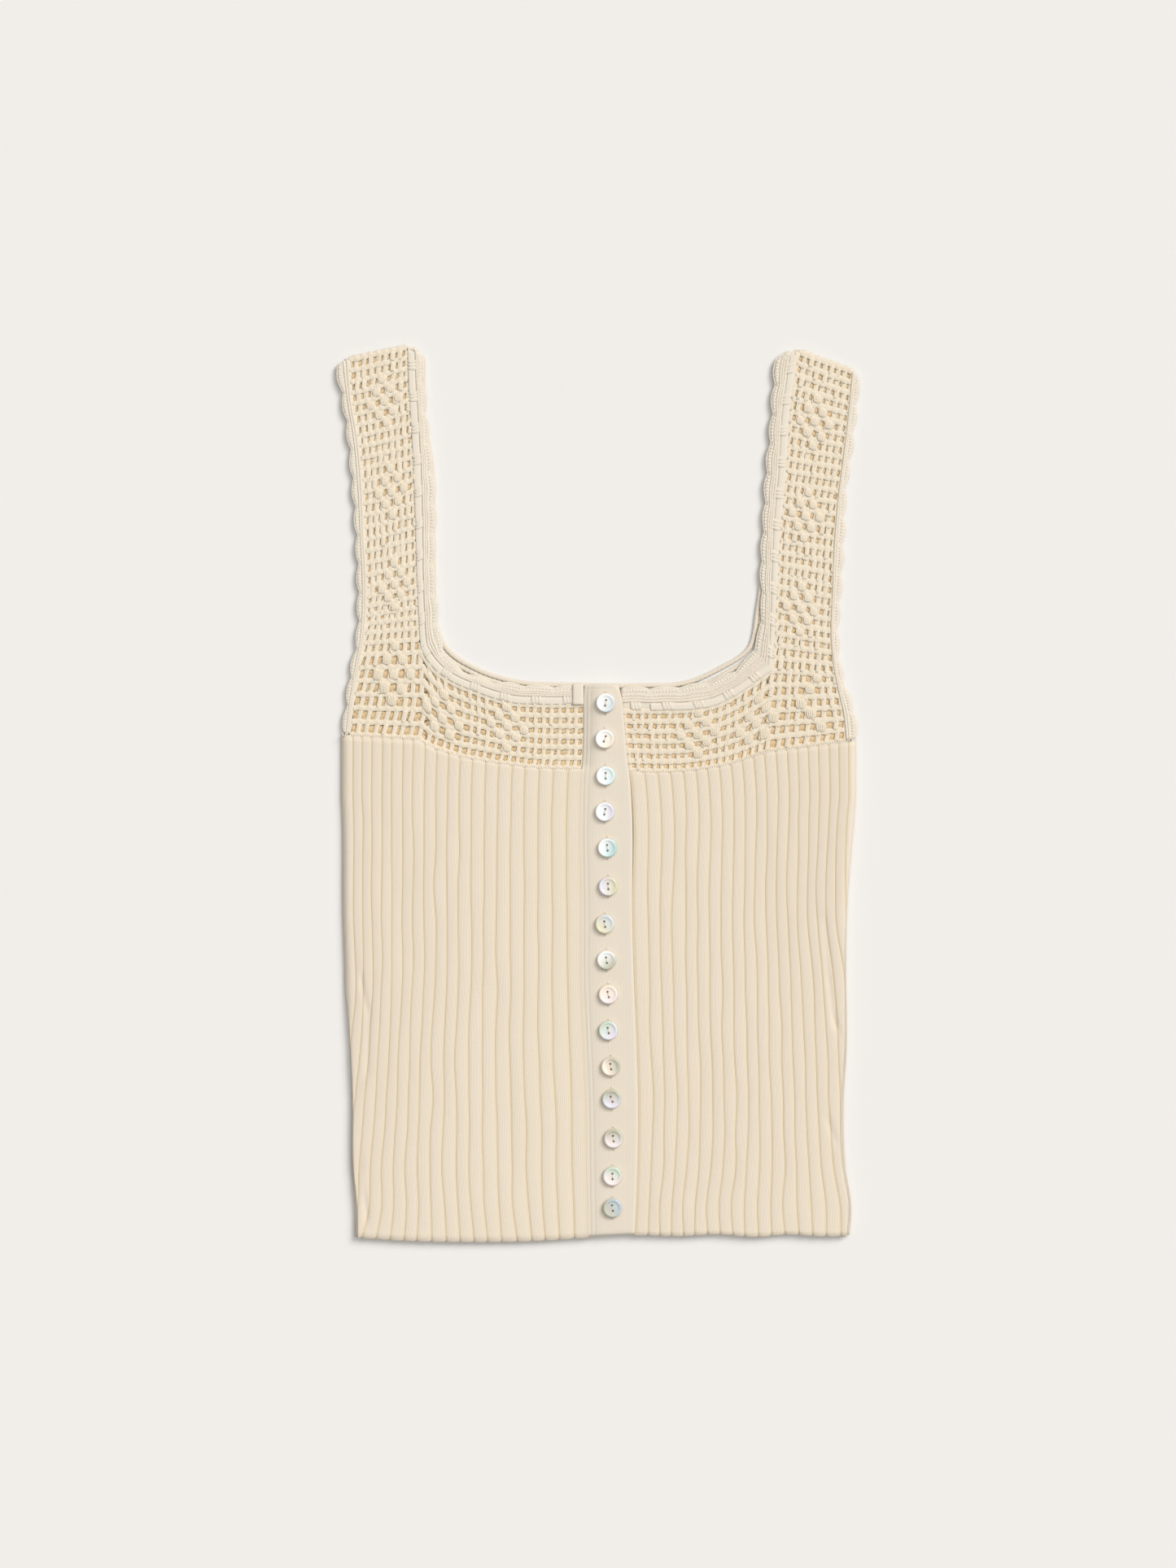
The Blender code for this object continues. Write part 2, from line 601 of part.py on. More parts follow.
def button_mesh(material):
    """A dished round button with a rounded rim and two thread holes, one above the other."""
    bm = bmesh.new()
    points = [bm.verts.new((x, 0.0, z)) for x, z in BUTTON_SECTION]
    edges = [bm.edges.new(ends) for ends in zip(points, points[1:])]
    bmesh.ops.spin(bm, geom=points + edges, axis=(0, 0, 1), cent=(0, 0, 0), angle=math.tau, steps=BUTTON_SIDES)
    bmesh.ops.remove_doubles(bm, verts=bm.verts, dist=0.01)
    disc = add_object("button_blank", bm, material)
    cutters = []
    for side in (-1, 1):
        bm = bmesh.new()
        bmesh.ops.create_cone(
            bm,
            cap_ends=True,
            segments=BUTTON_HOLE_SIDES,
            radius1=BUTTON_HOLE / 2,
            radius2=BUTTON_HOLE / 2,
            depth=3 * BUTTON_THICK,
        )
        bmesh.ops.translate(bm, vec=(0, side * BUTTON_HOLE_SPACING / 2, BUTTON_THICK / 2), verts=bm.verts)
        cutter = add_object(f"thread_hole_{side}", bm, material)
        disc.modifiers.new("thread_hole", "BOOLEAN").object = cutter
        cutters.append(cutter)
    bpy.context.view_layer.update()
    mesh = bpy.data.meshes.new_from_object(disc.evaluated_get(bpy.context.evaluated_depsgraph_get()))
    mesh.name = "button"
    for obj in (disc, *cutters):
        bpy.data.objects.remove(obj)
    mesh.shade_smooth()
    mesh.set_sharp_from_angle(angle=math.radians(40))
    return mesh


for old in list(bpy.data.objects):
    bpy.data.objects.remove(old)

RIB_KNIT = finish("cream rib knit", (0.80, 0.69, 0.54), 0.9)
NET_CROCHET = finish("cream crochet", (0.80, 0.67, 0.50), 0.9)
EDGE_CROCHET = finish("cream edging", (0.78, 0.68, 0.53), 0.9)
TAPE = finish("cream tape", (0.84, 0.72, 0.58), 0.75)
BAND_KNIT = finish("cream band knit", (0.80, 0.70, 0.56), 0.9)
SHELL = finish("mother of pearl", (0.82, 0.84, 0.80), 0.2)

left_front = Front("left", LEFT_STRAP, LEFT_ROWS, LEFT_FALL, LEFT_NECK)
right_front = Front("right", RIGHT_STRAP, RIGHT_ROWS, RIGHT_FALL, RIGHT_NECK)
left_puffs = set().union(*(diamond(centre) for centre in LEFT_DIAMONDS))
right_puffs = set(CHEVRON).union(*(diamond(centre) for centre in RIGHT_DIAMONDS))

back_rib("back_rib", RIB_KNIT)
back_yoke("yoke_back", left_front, right_front, NET_CROCHET)

front_rib("front_left_rib", left_front, LEFT_RIBS, RIB_KNIT)
front_rib("front_right_rib", right_front, RIGHT_RIBS, RIB_KNIT)
front_yoke("yoke_front_left", left_front, left_puffs, NET_CROCHET)
front_yoke("yoke_front_right", right_front, right_puffs, NET_CROCHET)

edging("edging_neck_left", *neck_lines(left_front), NECK_PROFILE, EDGE_CROCHET)
edging("edging_neck_right", *neck_lines(right_front), NECK_PROFILE, EDGE_CROCHET)
edging("edging_arm_left", *arm_lines(left_front), ARM_PROFILE, EDGE_CROCHET)
edging("edging_arm_right", *arm_lines(right_front), ARM_PROFILE, EDGE_CROCHET)

tape("neck_tape_left", left_front, -2, TAPE)
tape("neck_tape_right", right_front, None, TAPE)
end_floor = FRONT_FLOOR + max(height for share, height in NECK_PROFILE) + SEAM_GAP
flat_wall("neck_tape_end", TAPE_END, end_floor, end_floor + TAPE_THICK, TAPE)

placket_under("placket_under", BAND_KNIT)
placket_over("placket_over", BAND_KNIT)

shared_button = button_mesh(SHELL)
for number, spot in enumerate(BUTTONS, 1):
    button = bpy.data.objects.new(f"button_{number:02d}", shared_button)
    button.location = (spot.x * MM, spot.y * MM, BUTTON_FLOOR * MM)
    button.rotation_euler.z = math.radians(spot.turn)
    bpy.context.scene.collection.objects.link(button)
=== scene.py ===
"""The looks of a buttoned crochet top laid flat: filet crochet over a wide-rib body, with pearl buttons.

"Left" and "right" are those of someone who looks down on it. Tables and stitches are in millimetres, and MM
turns them into metres.
"""

import math
from collections import namedtuple

import bpy
import numpy as np
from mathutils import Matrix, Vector


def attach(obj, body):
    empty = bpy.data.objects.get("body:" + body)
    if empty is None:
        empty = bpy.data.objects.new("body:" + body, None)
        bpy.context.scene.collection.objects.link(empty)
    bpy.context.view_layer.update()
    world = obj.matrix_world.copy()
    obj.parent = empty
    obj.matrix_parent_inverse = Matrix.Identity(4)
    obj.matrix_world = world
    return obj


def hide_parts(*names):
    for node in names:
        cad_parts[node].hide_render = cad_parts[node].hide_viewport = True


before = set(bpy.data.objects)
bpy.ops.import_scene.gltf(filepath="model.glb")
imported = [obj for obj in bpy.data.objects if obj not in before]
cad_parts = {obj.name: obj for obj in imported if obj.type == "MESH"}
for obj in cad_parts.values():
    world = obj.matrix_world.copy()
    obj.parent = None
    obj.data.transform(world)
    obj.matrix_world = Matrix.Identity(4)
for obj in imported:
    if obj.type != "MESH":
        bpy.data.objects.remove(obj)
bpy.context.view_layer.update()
bpy.ops.object.select_all(action="DESELECT")
MM = 0.001

# The surface it lies on is a wide sheet of matt white card. Soft daylight comes from a window at the upper
# right and off a white ceiling, the walls fill the shadows, and the camera looks straight down.
FLOOR_SIZE = 6.0
FLOOR_DROP = 0.05 * MM
FLOOR_COLOUR = (0.776, 0.760, 0.74)
VIEW_PIXELS = (1445, 1927)
ORIGIN_PIXEL = (733.5, 974.5)
PIXEL = 0.476 * MM
LENS = 85.0
SENSOR = 36.0
WINDOW_FROM = (0.80, 0.72, 0.90)
WINDOW_SPREAD = 30.0
WINDOW_STRENGTH = 2.1
CEILING_FROM = (0.12, 0.16, 1.0)
CEILING_SPREAD = 75.0
CEILING_STRENGTH = 1.58
DAYLIGHT_COLOUR = (1.0, 0.985, 0.96)
ROOM_COLOUR = (0.94, 0.97, 1.0)
ROOM_STRENGTH = 0.22
CARD = {"Base Color": (*FLOOR_COLOUR, 1), "Roughness": 0.95, "Specular IOR Level": 0.2}


def new_material(name, looks):
    """A material whose shader has the given inputs set, with its node tree and its shader."""
    material = bpy.data.materials.new(name)
    material.use_nodes = True
    shader = material.node_tree.nodes["Principled BSDF"]
    for label, value in looks.items():
        shader.inputs[label].default_value = value
    return material, material.node_tree, shader


bpy.ops.mesh.primitive_plane_add(size=FLOOR_SIZE)
floor = bpy.context.object
floor.name = "floor"
for vertex in floor.data.vertices:
    vertex.co.z = -FLOOR_DROP
floor.data.materials.append(new_material("white card", CARD)[0])

for name, source, spread, strength in (
    ("window", WINDOW_FROM, WINDOW_SPREAD, WINDOW_STRENGTH),
    ("ceiling", CEILING_FROM, CEILING_SPREAD, CEILING_STRENGTH),
):
    bpy.ops.object.light_add(type="SUN", location=source)
    light = bpy.context.object
    light.name = name
    light.rotation_euler = Vector(source).to_track_quat("Z", "Y").to_euler()
    light.data.angle = math.radians(spread)
    light.data.energy = strength
    light.data.color = DAYLIGHT_COLOUR

room = bpy.data.worlds.new("white room")
room.use_nodes = True
room.node_tree.nodes["Background"].inputs["Color"].default_value = (*ROOM_COLOUR, 1)
room.node_tree.nodes["Background"].inputs["Strength"].default_value = ROOM_STRENGTH
bpy.context.scene.world = room

across = (VIEW_PIXELS[0] / 2 - ORIGIN_PIXEL[0]) * PIXEL
upward = (ORIGIN_PIXEL[1] - VIEW_PIXELS[1] / 2) * PIXEL
distance = VIEW_PIXELS[1] * PIXEL * LENS / SENSOR
bpy.ops.object.camera_add(location=(across, upward, distance), rotation=(0, 0, 0))
camera = bpy.context.object
camera.data.lens = LENS
camera.data.sensor_width = SENSOR
bpy.context.scene.camera = camera
bpy.context.scene.view_settings.view_transform = "Standard"

# The crochet yarn: a soft two-ply cotton, cream, matt and slightly fuzzy. Its strands are tubes with U round
# them and V along them, gathered into one mesh for each piece of crochet.
YARN_LIGHT = (0.775, 0.69, 0.565)
YARN_DEEP = (0.745, 0.64, 0.48)
PLY_LENGTH = 1.6
ROUND_SIDES = 5
PLUMP = 2.9
PRESSED = 0.6
ROUND = [
    (math.cos(math.tau * i / ROUND_SIDES), math.sin(math.tau * i / ROUND_SIDES))
    for i in range(ROUND_SIDES)
]
PAIR = (
    (1.0, 0.0), (0.8, 0.14), (0.0, 0.13), (-0.8, 0.14),
    (-1.0, 0.0), (-0.8, -0.14), (0.0, -0.13), (0.8, -0.14),
)
THICK_PAIR = [(out, PLUMP * up) for out, up in PAIR]
FLAT_ROUND = [(out, PRESSED * up) for out, up in ROUND]
ROUND_END = 0.5
UP = np.array((0.0, 0.0, 1.0))
ASIDE = (1.0, 0.0, 0.0)
PATCHES = (45.0, 3.0)
FIBRES = (1400.0, 2.0)
# Painted shade: the yarn's colour is deeper in the low parts of its relief; the cloudy patches are random
# tone.
HOLLOW_PAINTED_SHADE = 0.35
PATCH_TONE = (0.6, 0.15)
FIBRE_RELIEF = 0.3
MATT = {"Roughness": 0.92, "Specular IOR Level": 0.25, "Sheen Weight": 0.25, "Sheen Roughness": 0.45}


def in_scene(name, mesh):
    """Makes the object of a mesh."""
    obj = bpy.data.objects.new(name, mesh)
    bpy.context.scene.collection.objects.link(obj)
    return obj


def smooth_piece(name, points, faces, maps, material):
    """Makes a smooth object of points in millimetres; maps holds the place of each face's corners."""
    mesh = bpy.data.meshes.new(name)
    mesh.from_pydata((points * MM).tolist(), [], faces)
    layer = mesh.uv_layers.new(name="UVMap")
    layer.uv.foreach_set("vector", maps.ravel())
    mesh.shade_smooth()
    mesh.materials.append(material)
    return in_scene(name, mesh)


class Yarn:
    """The strands of one piece of crochet, in millimetres."""

    def __init__(self):
        self.points = []
        self.faces = []
        self.uvs = []
        self.count = 0

    def strands(self, lines, radius, section=ROUND, aside=None, twist=0.0):
        """Adds closed tubes. Lines holds (strand, station, xyz); section is (aside, up) for each side."""
        many, stations = lines.shape[:2]
        sides = len(section)
        ahead = np.gradient(lines, axis=1)
        ahead /= np.linalg.norm(ahead, axis=2, keepdims=True) + 1e-9
        if aside is None:
            aside = np.cross(UP, ahead)
        else:
            aside = np.array(aside) - ahead * (ahead @ np.array(aside))[..., None]
        aside = aside / (np.linalg.norm(aside, axis=2, keepdims=True) + 1e-9)
        up = np.cross(ahead, aside)
        turn = np.broadcast_to(twist, (many, stations))[..., None]
        aside, up = aside * np.cos(turn) + up * np.sin(turn), up * np.cos(turn) - aside * np.sin(turn)
        ends = np.ones(stations)
        ends[[0, -1]] = ROUND_END
        thick = np.broadcast_to(radius, (many, stations)) * ends
        ring = np.array(section)
        offset = aside[:, :, None] * ring[:, :1] + up[:, :, None] * ring[:, 1:]
        points = lines[:, :, None] + offset * thick[:, :, None, None]
        self.points.append(points.reshape(-1, 3))

        index = self.count + np.arange(many * stations * sides).reshape(many, stations, sides)
        onward = np.roll(index, -1, axis=2)
        quads = np.stack([index[:, :-1], onward[:, :-1], onward[:, 1:], index[:, 1:]], axis=-1)
        self.faces += quads.reshape(-1, 4).tolist()
        self.faces += index[:, 0, ::-1].tolist() + index[:, -1].tolist()
        self.count += index.size

        step = np.linalg.norm(np.diff(lines, axis=1), axis=2)
        reach = np.concatenate([np.zeros((many, 1)), np.cumsum(step, axis=1)], axis=1)
        u = np.arange(sides + 1) / sides
        shape = (many, stations - 1, sides)
        low, high = reach[:, :-1, None], reach[:, 1:, None]
        corners = [(u[:-1], low), (u[1:], low), (u[1:], high), (u[:-1], high)]
        uvs = [np.stack(np.broadcast_arrays(*corner, np.zeros(shape))[:2], axis=-1) for corner in corners]
        self.uvs.append(np.stack(uvs, axis=3).reshape(-1, 2))
        self.uvs.append(np.zeros((2 * many * sides, 2)))

    def piece(self, name, material):
        """Makes the object of all strands."""
        return smooth_piece(name, np.concatenate(self.points), self.faces, np.concatenate(self.uvs), material)


def add_node(tree, kind, inputs, **settings):
    """Adds a node; each of its inputs is given a value or another node's output."""
    node = tree.nodes.new(kind)
    for name, value in settings.items():
        setattr(node, name, value)
    for name, value in inputs.items():
        if isinstance(value, bpy.types.NodeSocket):
            tree.links.new(value, node.inputs[name])
        else:
            node.inputs[name].default_value = value
    return node


def work_out(tree, operation, *values):
    """A Math node's output."""
    return add_node(tree, "ShaderNodeMath", dict(enumerate(values)), operation=operation).outputs[0]


def stitch_place(tree):
    """The two coordinates of the cloth's own map."""
    uv = add_node(tree, "ShaderNodeUVMap", {}, uv_map="UVMap").outputs["UV"]
    place = add_node(tree, "ShaderNodeSeparateXYZ", {"Vector": uv})
    return place.outputs["X"], place.outputs["Y"]


def grain(tree, scale, detail):
    """A cloudy grain over the piece, from 0 to 1."""
    spot = add_node(tree, "ShaderNodeTexCoord", {}).outputs["Object"]
    cloud = add_node(tree, "ShaderNodeTexNoise", {"Vector": spot, "Scale": scale, "Detail": detail})
    return cloud.outputs["Fac"]


def cotton(name, light, deep, height_of, rise):
    """A matt cotton: its relief is height_of(tree), in rises of the given size, and its colour is deeper
    where the relief is low, painted shade in its hollows, with random cloudy patches of tone.
    """
    material, tree, shader = new_material(name, MATT)
    height = height_of(tree)
    patches = grain(tree, *PATCHES)
    fibres = grain(tree, *FIBRES)
    cloudy = work_out(tree, "MULTIPLY_ADD", patches, *PATCH_TONE)
    # Painted shade in the hollows of the relief, plus random patches of tone.
    painted_shade_and_tone = work_out(tree, "MULTIPLY_ADD", height, HOLLOW_PAINTED_SHADE, cloudy)
    tints = {"Factor": painted_shade_and_tone, "A": (*deep, 1), "B": (*light, 1)}
    colour = add_node(tree, "ShaderNodeMix", tints, data_type="RGBA")
    tree.links.new(colour.outputs["Result"], shader.inputs["Base Color"])
    relief = work_out(tree, "MULTIPLY_ADD", fibres, FIBRE_RELIEF, height)
    bump = add_node(tree, "ShaderNodeBump", {"Height": relief, "Distance": rise, "Strength": 1.0})
    tree.links.new(bump.outputs["Normal"], shader.inputs["Normal"])
    return material


def ply_height(tree):
    """Two plies twisted round each other along a strand."""
    round_it, along = stitch_place(tree)
    turns = work_out(tree, "MULTIPLY_ADD", along, 1 / PLY_LENGTH, work_out(tree, "MULTIPLY", round_it, 2.0))
    return work_out(tree, "PINGPONG", turns, 0.5)


YARN_COTTON = cotton("cream crochet cotton", YARN_LIGHT, YARN_DEEP, ply_height, 0.15 * MM)

# The crochet is charted in cells from the armhole edge and rows from the shoulder fold. Tables give the edges
# of each strap and how much its rows climb toward +X, the heights of rows, how the band's top line and foot
# drop toward the placket, and the centre front's edges.
STRAP_CELLS = 8
NET_ROWS = 33
BAND_FIRST_ROW = 27
CELL_WIDTH = 4.1
ROW_HEIGHT = 6.8
BACK_MIDDLE = 1.45
FRONT_MIDDLE = 2.72
FOLD_RADIUS = (FRONT_MIDDLE - BACK_MIDDLE) / 2
Strap = namedtuple("Strap", "y arm net_arm net_neck climb")
LEFT_STRAP = (
    Strap(256.6, -153.0, -145.0, -111.0, 0.21),
    Strap(235.5, -149.0, -143.5, -110.5, 0.26),
    Strap(211.5, -145.5, -139.5, -109.0, 0.25),
    Strap(183.0, -143.0, -137.0, -107.5, 0.24),
    Strap(154.5, -141.0, -136.0, -106.5, 0.25),
    Strap(121.0, -140.0, -134.5, -105.5, 0.22),
    Strap(92.5, -140.5, -136.0, -104.0, 0.08),
    Strap(69.0, -144.5, -140.0, -102.0, 0.0),
    Strap(49.5, -147.0, -143.0, -102.0, -0.03),
    Strap(33.0, -149.0, -144.5, -104.0, -0.06),
)
RIGHT_STRAP = (
    Strap(252.0, 153.0, 149.3, 117.5, -0.37),
    Strap(233.0, 151.5, 147.6, 114.8, -0.32),
    Strap(220.0, 150.3, 146.5, 112.9, -0.23),
    Strap(200.0, 148.0, 144.1, 111.6, -0.2),
    Strap(183.0, 145.5, 142.0, 110.5, -0.16),
    Strap(154.5, 144.0, 139.1, 107.5, -0.16),
    Strap(121.0, 142.0, 137.6, 105.6, -0.19),
    Strap(92.5, 140.5, 137.0, 104.0, -0.15),
    Strap(76.0, 142.0, 138.4, 102.9, -0.1),
    Strap(60.0, 145.5, 141.0, 101.8, 0.02),
    Strap(45.0, 150.0, 144.0, 100.5, 0.06),
    Strap(29.0, 151.5, 145.5, 100.0, 0.13),
)
Row = namedtuple("Row", "row y")
LEFT_ROWS = (
    Row(0, 256.6), Row(4.5, 228.2), Row(12.5, 175.9), Row(20.5, 120.8), Row(27, 81.5), Row(28.5, 69.5),
    Row(33, 33.0),
)
RIGHT_ROWS = (
    Row(0, 252.0), Row(5.5, 216.1), Row(13.5, 161.8), Row(21.5, 107.4), Row(25.5, 80.7), Row(29.5, 52.6),
    Row(33, 27.5),
)
Fall = namedtuple("Fall", "across top foot")
LEFT_FALL = (
    Fall(0.0, 0.0, 0.0), Fall(0.07, 0.3, 0.24), Fall(0.15, 0.5, 0.4), Fall(0.25, 0.66, 0.58),
    Fall(0.35, 0.78, 0.68), Fall(0.45, 0.89, 0.78), Fall(0.55, 0.97, 0.85), Fall(0.7, 1.0, 0.95),
    Fall(1.0, 1.0, 1.0),
)
RIGHT_FALL = (
    Fall(0.0, 0.0, 0.0), Fall(0.07, 0.19, 0.18), Fall(0.15, 0.4, 0.37), Fall(0.25, 0.64, 0.6),
    Fall(0.35, 0.83, 0.75), Fall(0.45, 0.94, 0.86), Fall(0.55, 0.98, 0.96), Fall(0.7, 1.0, 1.03),
    Fall(1.0, 1.0, 1.0),
)
Centre = namedtuple("Centre", "y left right free")
CENTRE = (
    Centre(63.3, -7.0, 15.5, 8.8),
    Centre(62.3, -7.1, 15.5, 10.8),
    Centre(60.4, -7.2, 15.5, 12.8),
    Centre(57.0, -7.5, 15.5, 14.1),
    Centre(45.0, -7.5, 15.7, 15.5),
    Centre(20.0, -8.0, 18.5, 17.7),
    Centre(7.0, -9.0, 20.5, 19.3),
    Centre(-12.0, -9.5, 22.0, 20.5),
    Centre(-69.5, -9.0, 21.5, 20.5),
    Centre(-107.5, -9.0, 22.5, 21.5),
    Centre(-145.5, -7.5, 24.0, 23.0),
    Centre(-183.5, -6.0, 25.0, 24.0),
    Centre(-221.5, -5.5, 24.5, 23.5),
    Centre(-259.5, -5.0, 23.0, 22.0),
)
NET_END = {"left": (51.4, 14.4), "right": (47.8, 13.0)}
BAND_CELLS = {"left": 20, "right": 17}


def course(stations, values):
    """A smooth function of a table's stations, whichever way they run."""
    order = np.argsort(stations)
    at = np.array(stations, float)[order]
    value = np.array(values, float)[order]
    slope = np.gradient(value, at)

    def read(place):
        place = np.clip(place, at[0], at[-1])
        i = np.clip(np.searchsorted(at, place) - 1, 0, len(at) - 2)
        span = at[i + 1] - at[i]
        t = (place - at[i]) / span
        rise = value[i + 1] - value[i]
        start, end = slope[i] * span, slope[i + 1] * span
        return value[i] + t * (start + t * (3 * rise - 2 * start - end + t * (start + end - 2 * rise)))

    return read


def column(rows, name):
    """The smooth course of one named column of a table, by height."""
    return course([row.y for row in rows], [getattr(row, name) for row in rows])


def set_out(*coordinates):
    """Points from their coordinates, each of which may hold for a whole row or column of them."""
    return np.stack(np.broadcast_arrays(*coordinates), axis=-1)


def over_fold(x, y, past, lift):
    """Points of a front's cloth: past is how far beyond the shoulder fold, lift how far out of its middle."""
    turn = np.clip(past / FOLD_RADIUS, 0, math.pi)
    reach = FOLD_RADIUS + lift
    beyond = np.maximum(past - math.pi * FOLD_RADIUS, 0)
    height = BACK_MIDDLE + FOLD_RADIUS + np.cos(turn) * reach
    return set_out(x, y + np.sin(turn) * reach - beyond, height)


class Front:
    """Where one front's chart of meshes lies, for all that is worked along it."""

    def __init__(self, side, straps, rows, fall):
        self.arm = column(straps, "arm")
        self.net_arm = column(straps, "net_arm")
        self.net_neck = column(straps, "net_neck")
        self.climb = column(straps, "climb")
        self.foot = straps[-1].y
        self.height = course([row.row for row in rows], [row.y for row in rows])
        self.fall_top = course([part.across for part in fall], [part.top for part in fall])
        self.fall_foot = course([part.across for part in fall], [part.foot for part in fall])
        self.centre = column(CENTRE, side)
        self.cells = STRAP_CELLS + BAND_CELLS[side]
        self.end_top, self.end_foot = NET_END[side]

    def across_strap(self, x_of, row):
        """A point of a strap on one of its courses, in the row's slant."""
        y = self.height(row)
        x = x_of(y)
        return x, y + self.climb(y) * (x - (self.net_arm(y) + self.net_neck(y)) / 2)

    def strap_point(self, cell, row):
        """A point of the strap's net."""
        share = cell / STRAP_CELLS
        return self.across_strap(lambda y: self.net_arm(y) * (1 - share) + self.net_neck(y) * share, row)

    def point(self, cell, row):
        """A point of the whole net, which turns from the strap into the band above the ribs."""
        x, y = self.strap_point(np.minimum(cell, STRAP_CELLS), row)
        share = np.maximum(cell - STRAP_CELLS, 0) / (self.cells - STRAP_CELLS)
        end_y, fall = self.drop(share, row)
        return x + (self.centre(end_y) - x) * share, y + (end_y - y) * fall

    def drop(self, share, row):
        """The height of a band's course at the placket, and how much of its drop is done on the way."""
        down = (row - BAND_FIRST_ROW) / (NET_ROWS - BAND_FIRST_ROW)
        fall = self.fall_top(share) * (1 - down) + self.fall_foot(share) * down
        return self.end_top + (self.end_foot - self.end_top) * down, fall

    def place(self, cell, row, lift):
        """Points of the net in space; above row 0 they roll over the shoulder."""
        x, y = self.point(cell, np.maximum(row, 0))
        return over_fold(x, y, np.maximum(-row, 0) * ROW_HEIGHT, lift)

    def neck_side(self, first_row=0.0, tucked=0.0):
        """The net's edge along the neck edging."""
        rows = np.linspace(first_row, BAND_FIRST_ROW, BAND_FIRST_ROW + 1)
        cells = np.append(np.arange(STRAP_CELLS + 1, self.cells), self.cells + tucked)
        down = self.point(np.full(rows.shape, STRAP_CELLS), rows)
        along = self.point(cells, np.full(cells.shape, BAND_FIRST_ROW))
        return np.concatenate([set_out(*down), set_out(*along)])

    def seam(self):
        """The height of the net's foot over x, where the ribs are sewn on."""
        edge = self.across_strap(self.arm, NET_ROWS)
        cells = np.arange(self.cells + 1)
        x, y = self.point(cells, np.full(cells.shape, NET_ROWS))
        return course([float(edge[0]), *x], [float(edge[1]), *y])


left_front = Front("left", LEFT_STRAP, LEFT_ROWS, LEFT_FALL)
right_front = Front("right", RIGHT_STRAP, RIGHT_ROWS, RIGHT_FALL)

# The stitches of the net. A post is a flat pair of plies that stands upright, a course is the same along a
# row, and a puff is a bundle of loops gathered at both ends, which draws its neighbours in.
POST_HALF_WIDTH = {"strap": 1.62, "band": 1.35}
POST_WAIST = 0.9
POST_FLARE = 0.5
POST_SLANT = 0.2
POST_TWIST = 0.15
POST_REACH = (0.04, 0.96)
POST_STATIONS = 6
COURSE_HALF_WIDTH = 1.84
COURSE_STEP = 0.25
COURSE_SWELL = 0.17
COURSE_SWAY = 0.035
COURSE_TWIST = 0.12
COURSE_WAVE = 0.08
HAND = 0.06
HAND_SIZE = (0.9, 1.08)
HAND_LIFT = 0.12
HAND_TWIST = 0.08
HAND_BEAT = (0.5, 0.01, 0.04)
PUFF_REACH = 2
PUFF_LOOPS = (-1.7, -0.9, 0.0, 0.9, 1.7)
PUFF_RADIUS = 0.85
PUFF_HALF = 3.0
PUFF_RISE = 0.4
PUFF_SPREAD = 2.5
PUFF_BELLY = 2.5
PUFF_DRAW = 0.5
PUFF_PULL = (0.75, 0.5)
LEFT_DIAMONDS = ((4, 4), (4, 12), (4, 20), (4, 28), (10, 30), (18, 29))
RIGHT_DIAMONDS = ((4, 5), (4, 13), (4, 21), (9, 30), (16, 29))
CHEVRON = ((2, 27), (3, 28), (4, 29), (3, 30), (2, 31))


def dome(t, roundness):
    """The height of a dome over t, which runs from -1 to 1."""
    return np.sqrt(np.maximum(1 - np.abs(t) ** roundness, 0))


def posts(yarn, place, cells, rows, slant, chance, half_width, section=PAIR, reach=POST_REACH):
    """Adds the posts that stand at the given cells and rows."""
    many = (len(cells), 1)
    up = np.linspace(*reach, POST_STATIONS)
    lean = (slant + chance.normal(0, HAND, many)) * (0.5 - up)
    cell = cells[:, None] + chance.normal(0, HAND, many) + lean
    twist = chance.normal(0, HAND_TWIST, many) + math.copysign(POST_TWIST, slant) * (up - 0.5)
    waist = POST_WAIST + POST_FLARE * np.abs(2 * up - 1) ** 2.5
    width = half_width * chance.uniform(*HAND_SIZE, many) * waist
    line = place(cell, rows[:, None] + up, chance.normal(0, HAND_LIFT, many))
    yarn.strands(line, width, section, ASIDE, twist)


def courses(yarn, place, first, last, rows, chance, half_width, section=PAIR):
    """Adds the courses that run along the given rows."""
    cell = np.arange(first, last + COURSE_STEP / 2, COURSE_STEP)[None, :]
    many = (len(rows), cell.shape[1])
    late, sway, size = HAND_BEAT
    beat = np.cos(math.tau * cell + chance.normal(0, late, (len(rows), 1)))
    row = rows[:, None] + COURSE_SWAY * np.roll(beat, 1, axis=1) + chance.normal(0, sway, many)
    width = half_width * (1 + COURSE_SWELL * beat + chance.normal(0, size, many))
    yarn.strands(place(cell, row, COURSE_WAVE * beat), width, section, twist=COURSE_TWIST * beat)


def diamond(centre):
    """The cells of one diamond of puffs: every other cell within reach of its middle, above the last row."""
    reach = range(-PUFF_REACH, PUFF_REACH + 1)
    return [
        (centre[0] + a, centre[1] + r)
        for r in reach
        for a in reach
        if abs(a) + abs(r) <= PUFF_REACH and (a + r) % 2 == 0 and centre[1] + r < NET_ROWS - 1
    ]


def puffs(yarn, place, centres, chance):
    """Adds the puffs at the given centres."""
    up = np.linspace(-1, 1, POST_STATIONS + 1)
    belly = dome(up, PUFF_BELLY)
    cells, rows = (centres[:, i, None] + chance.normal(0, HAND, (len(centres), 1)) for i in (0, 1))
    size = chance.uniform(*HAND_SIZE, (len(centres), 1))
    row = rows + size * PUFF_HALF * up / ROW_HEIGHT
    for loop in PUFF_LOOPS:
        cell = cells + size * loop * belly / CELL_WIDTH
        lift = PUFF_RISE * belly * math.sqrt(1 - (loop / PUFF_SPREAD) ** 2) * size
        yarn.strands(place(cell, row, lift), PUFF_RADIUS * (0.55 + 0.45 * belly), FLAT_ROUND, ASIDE)


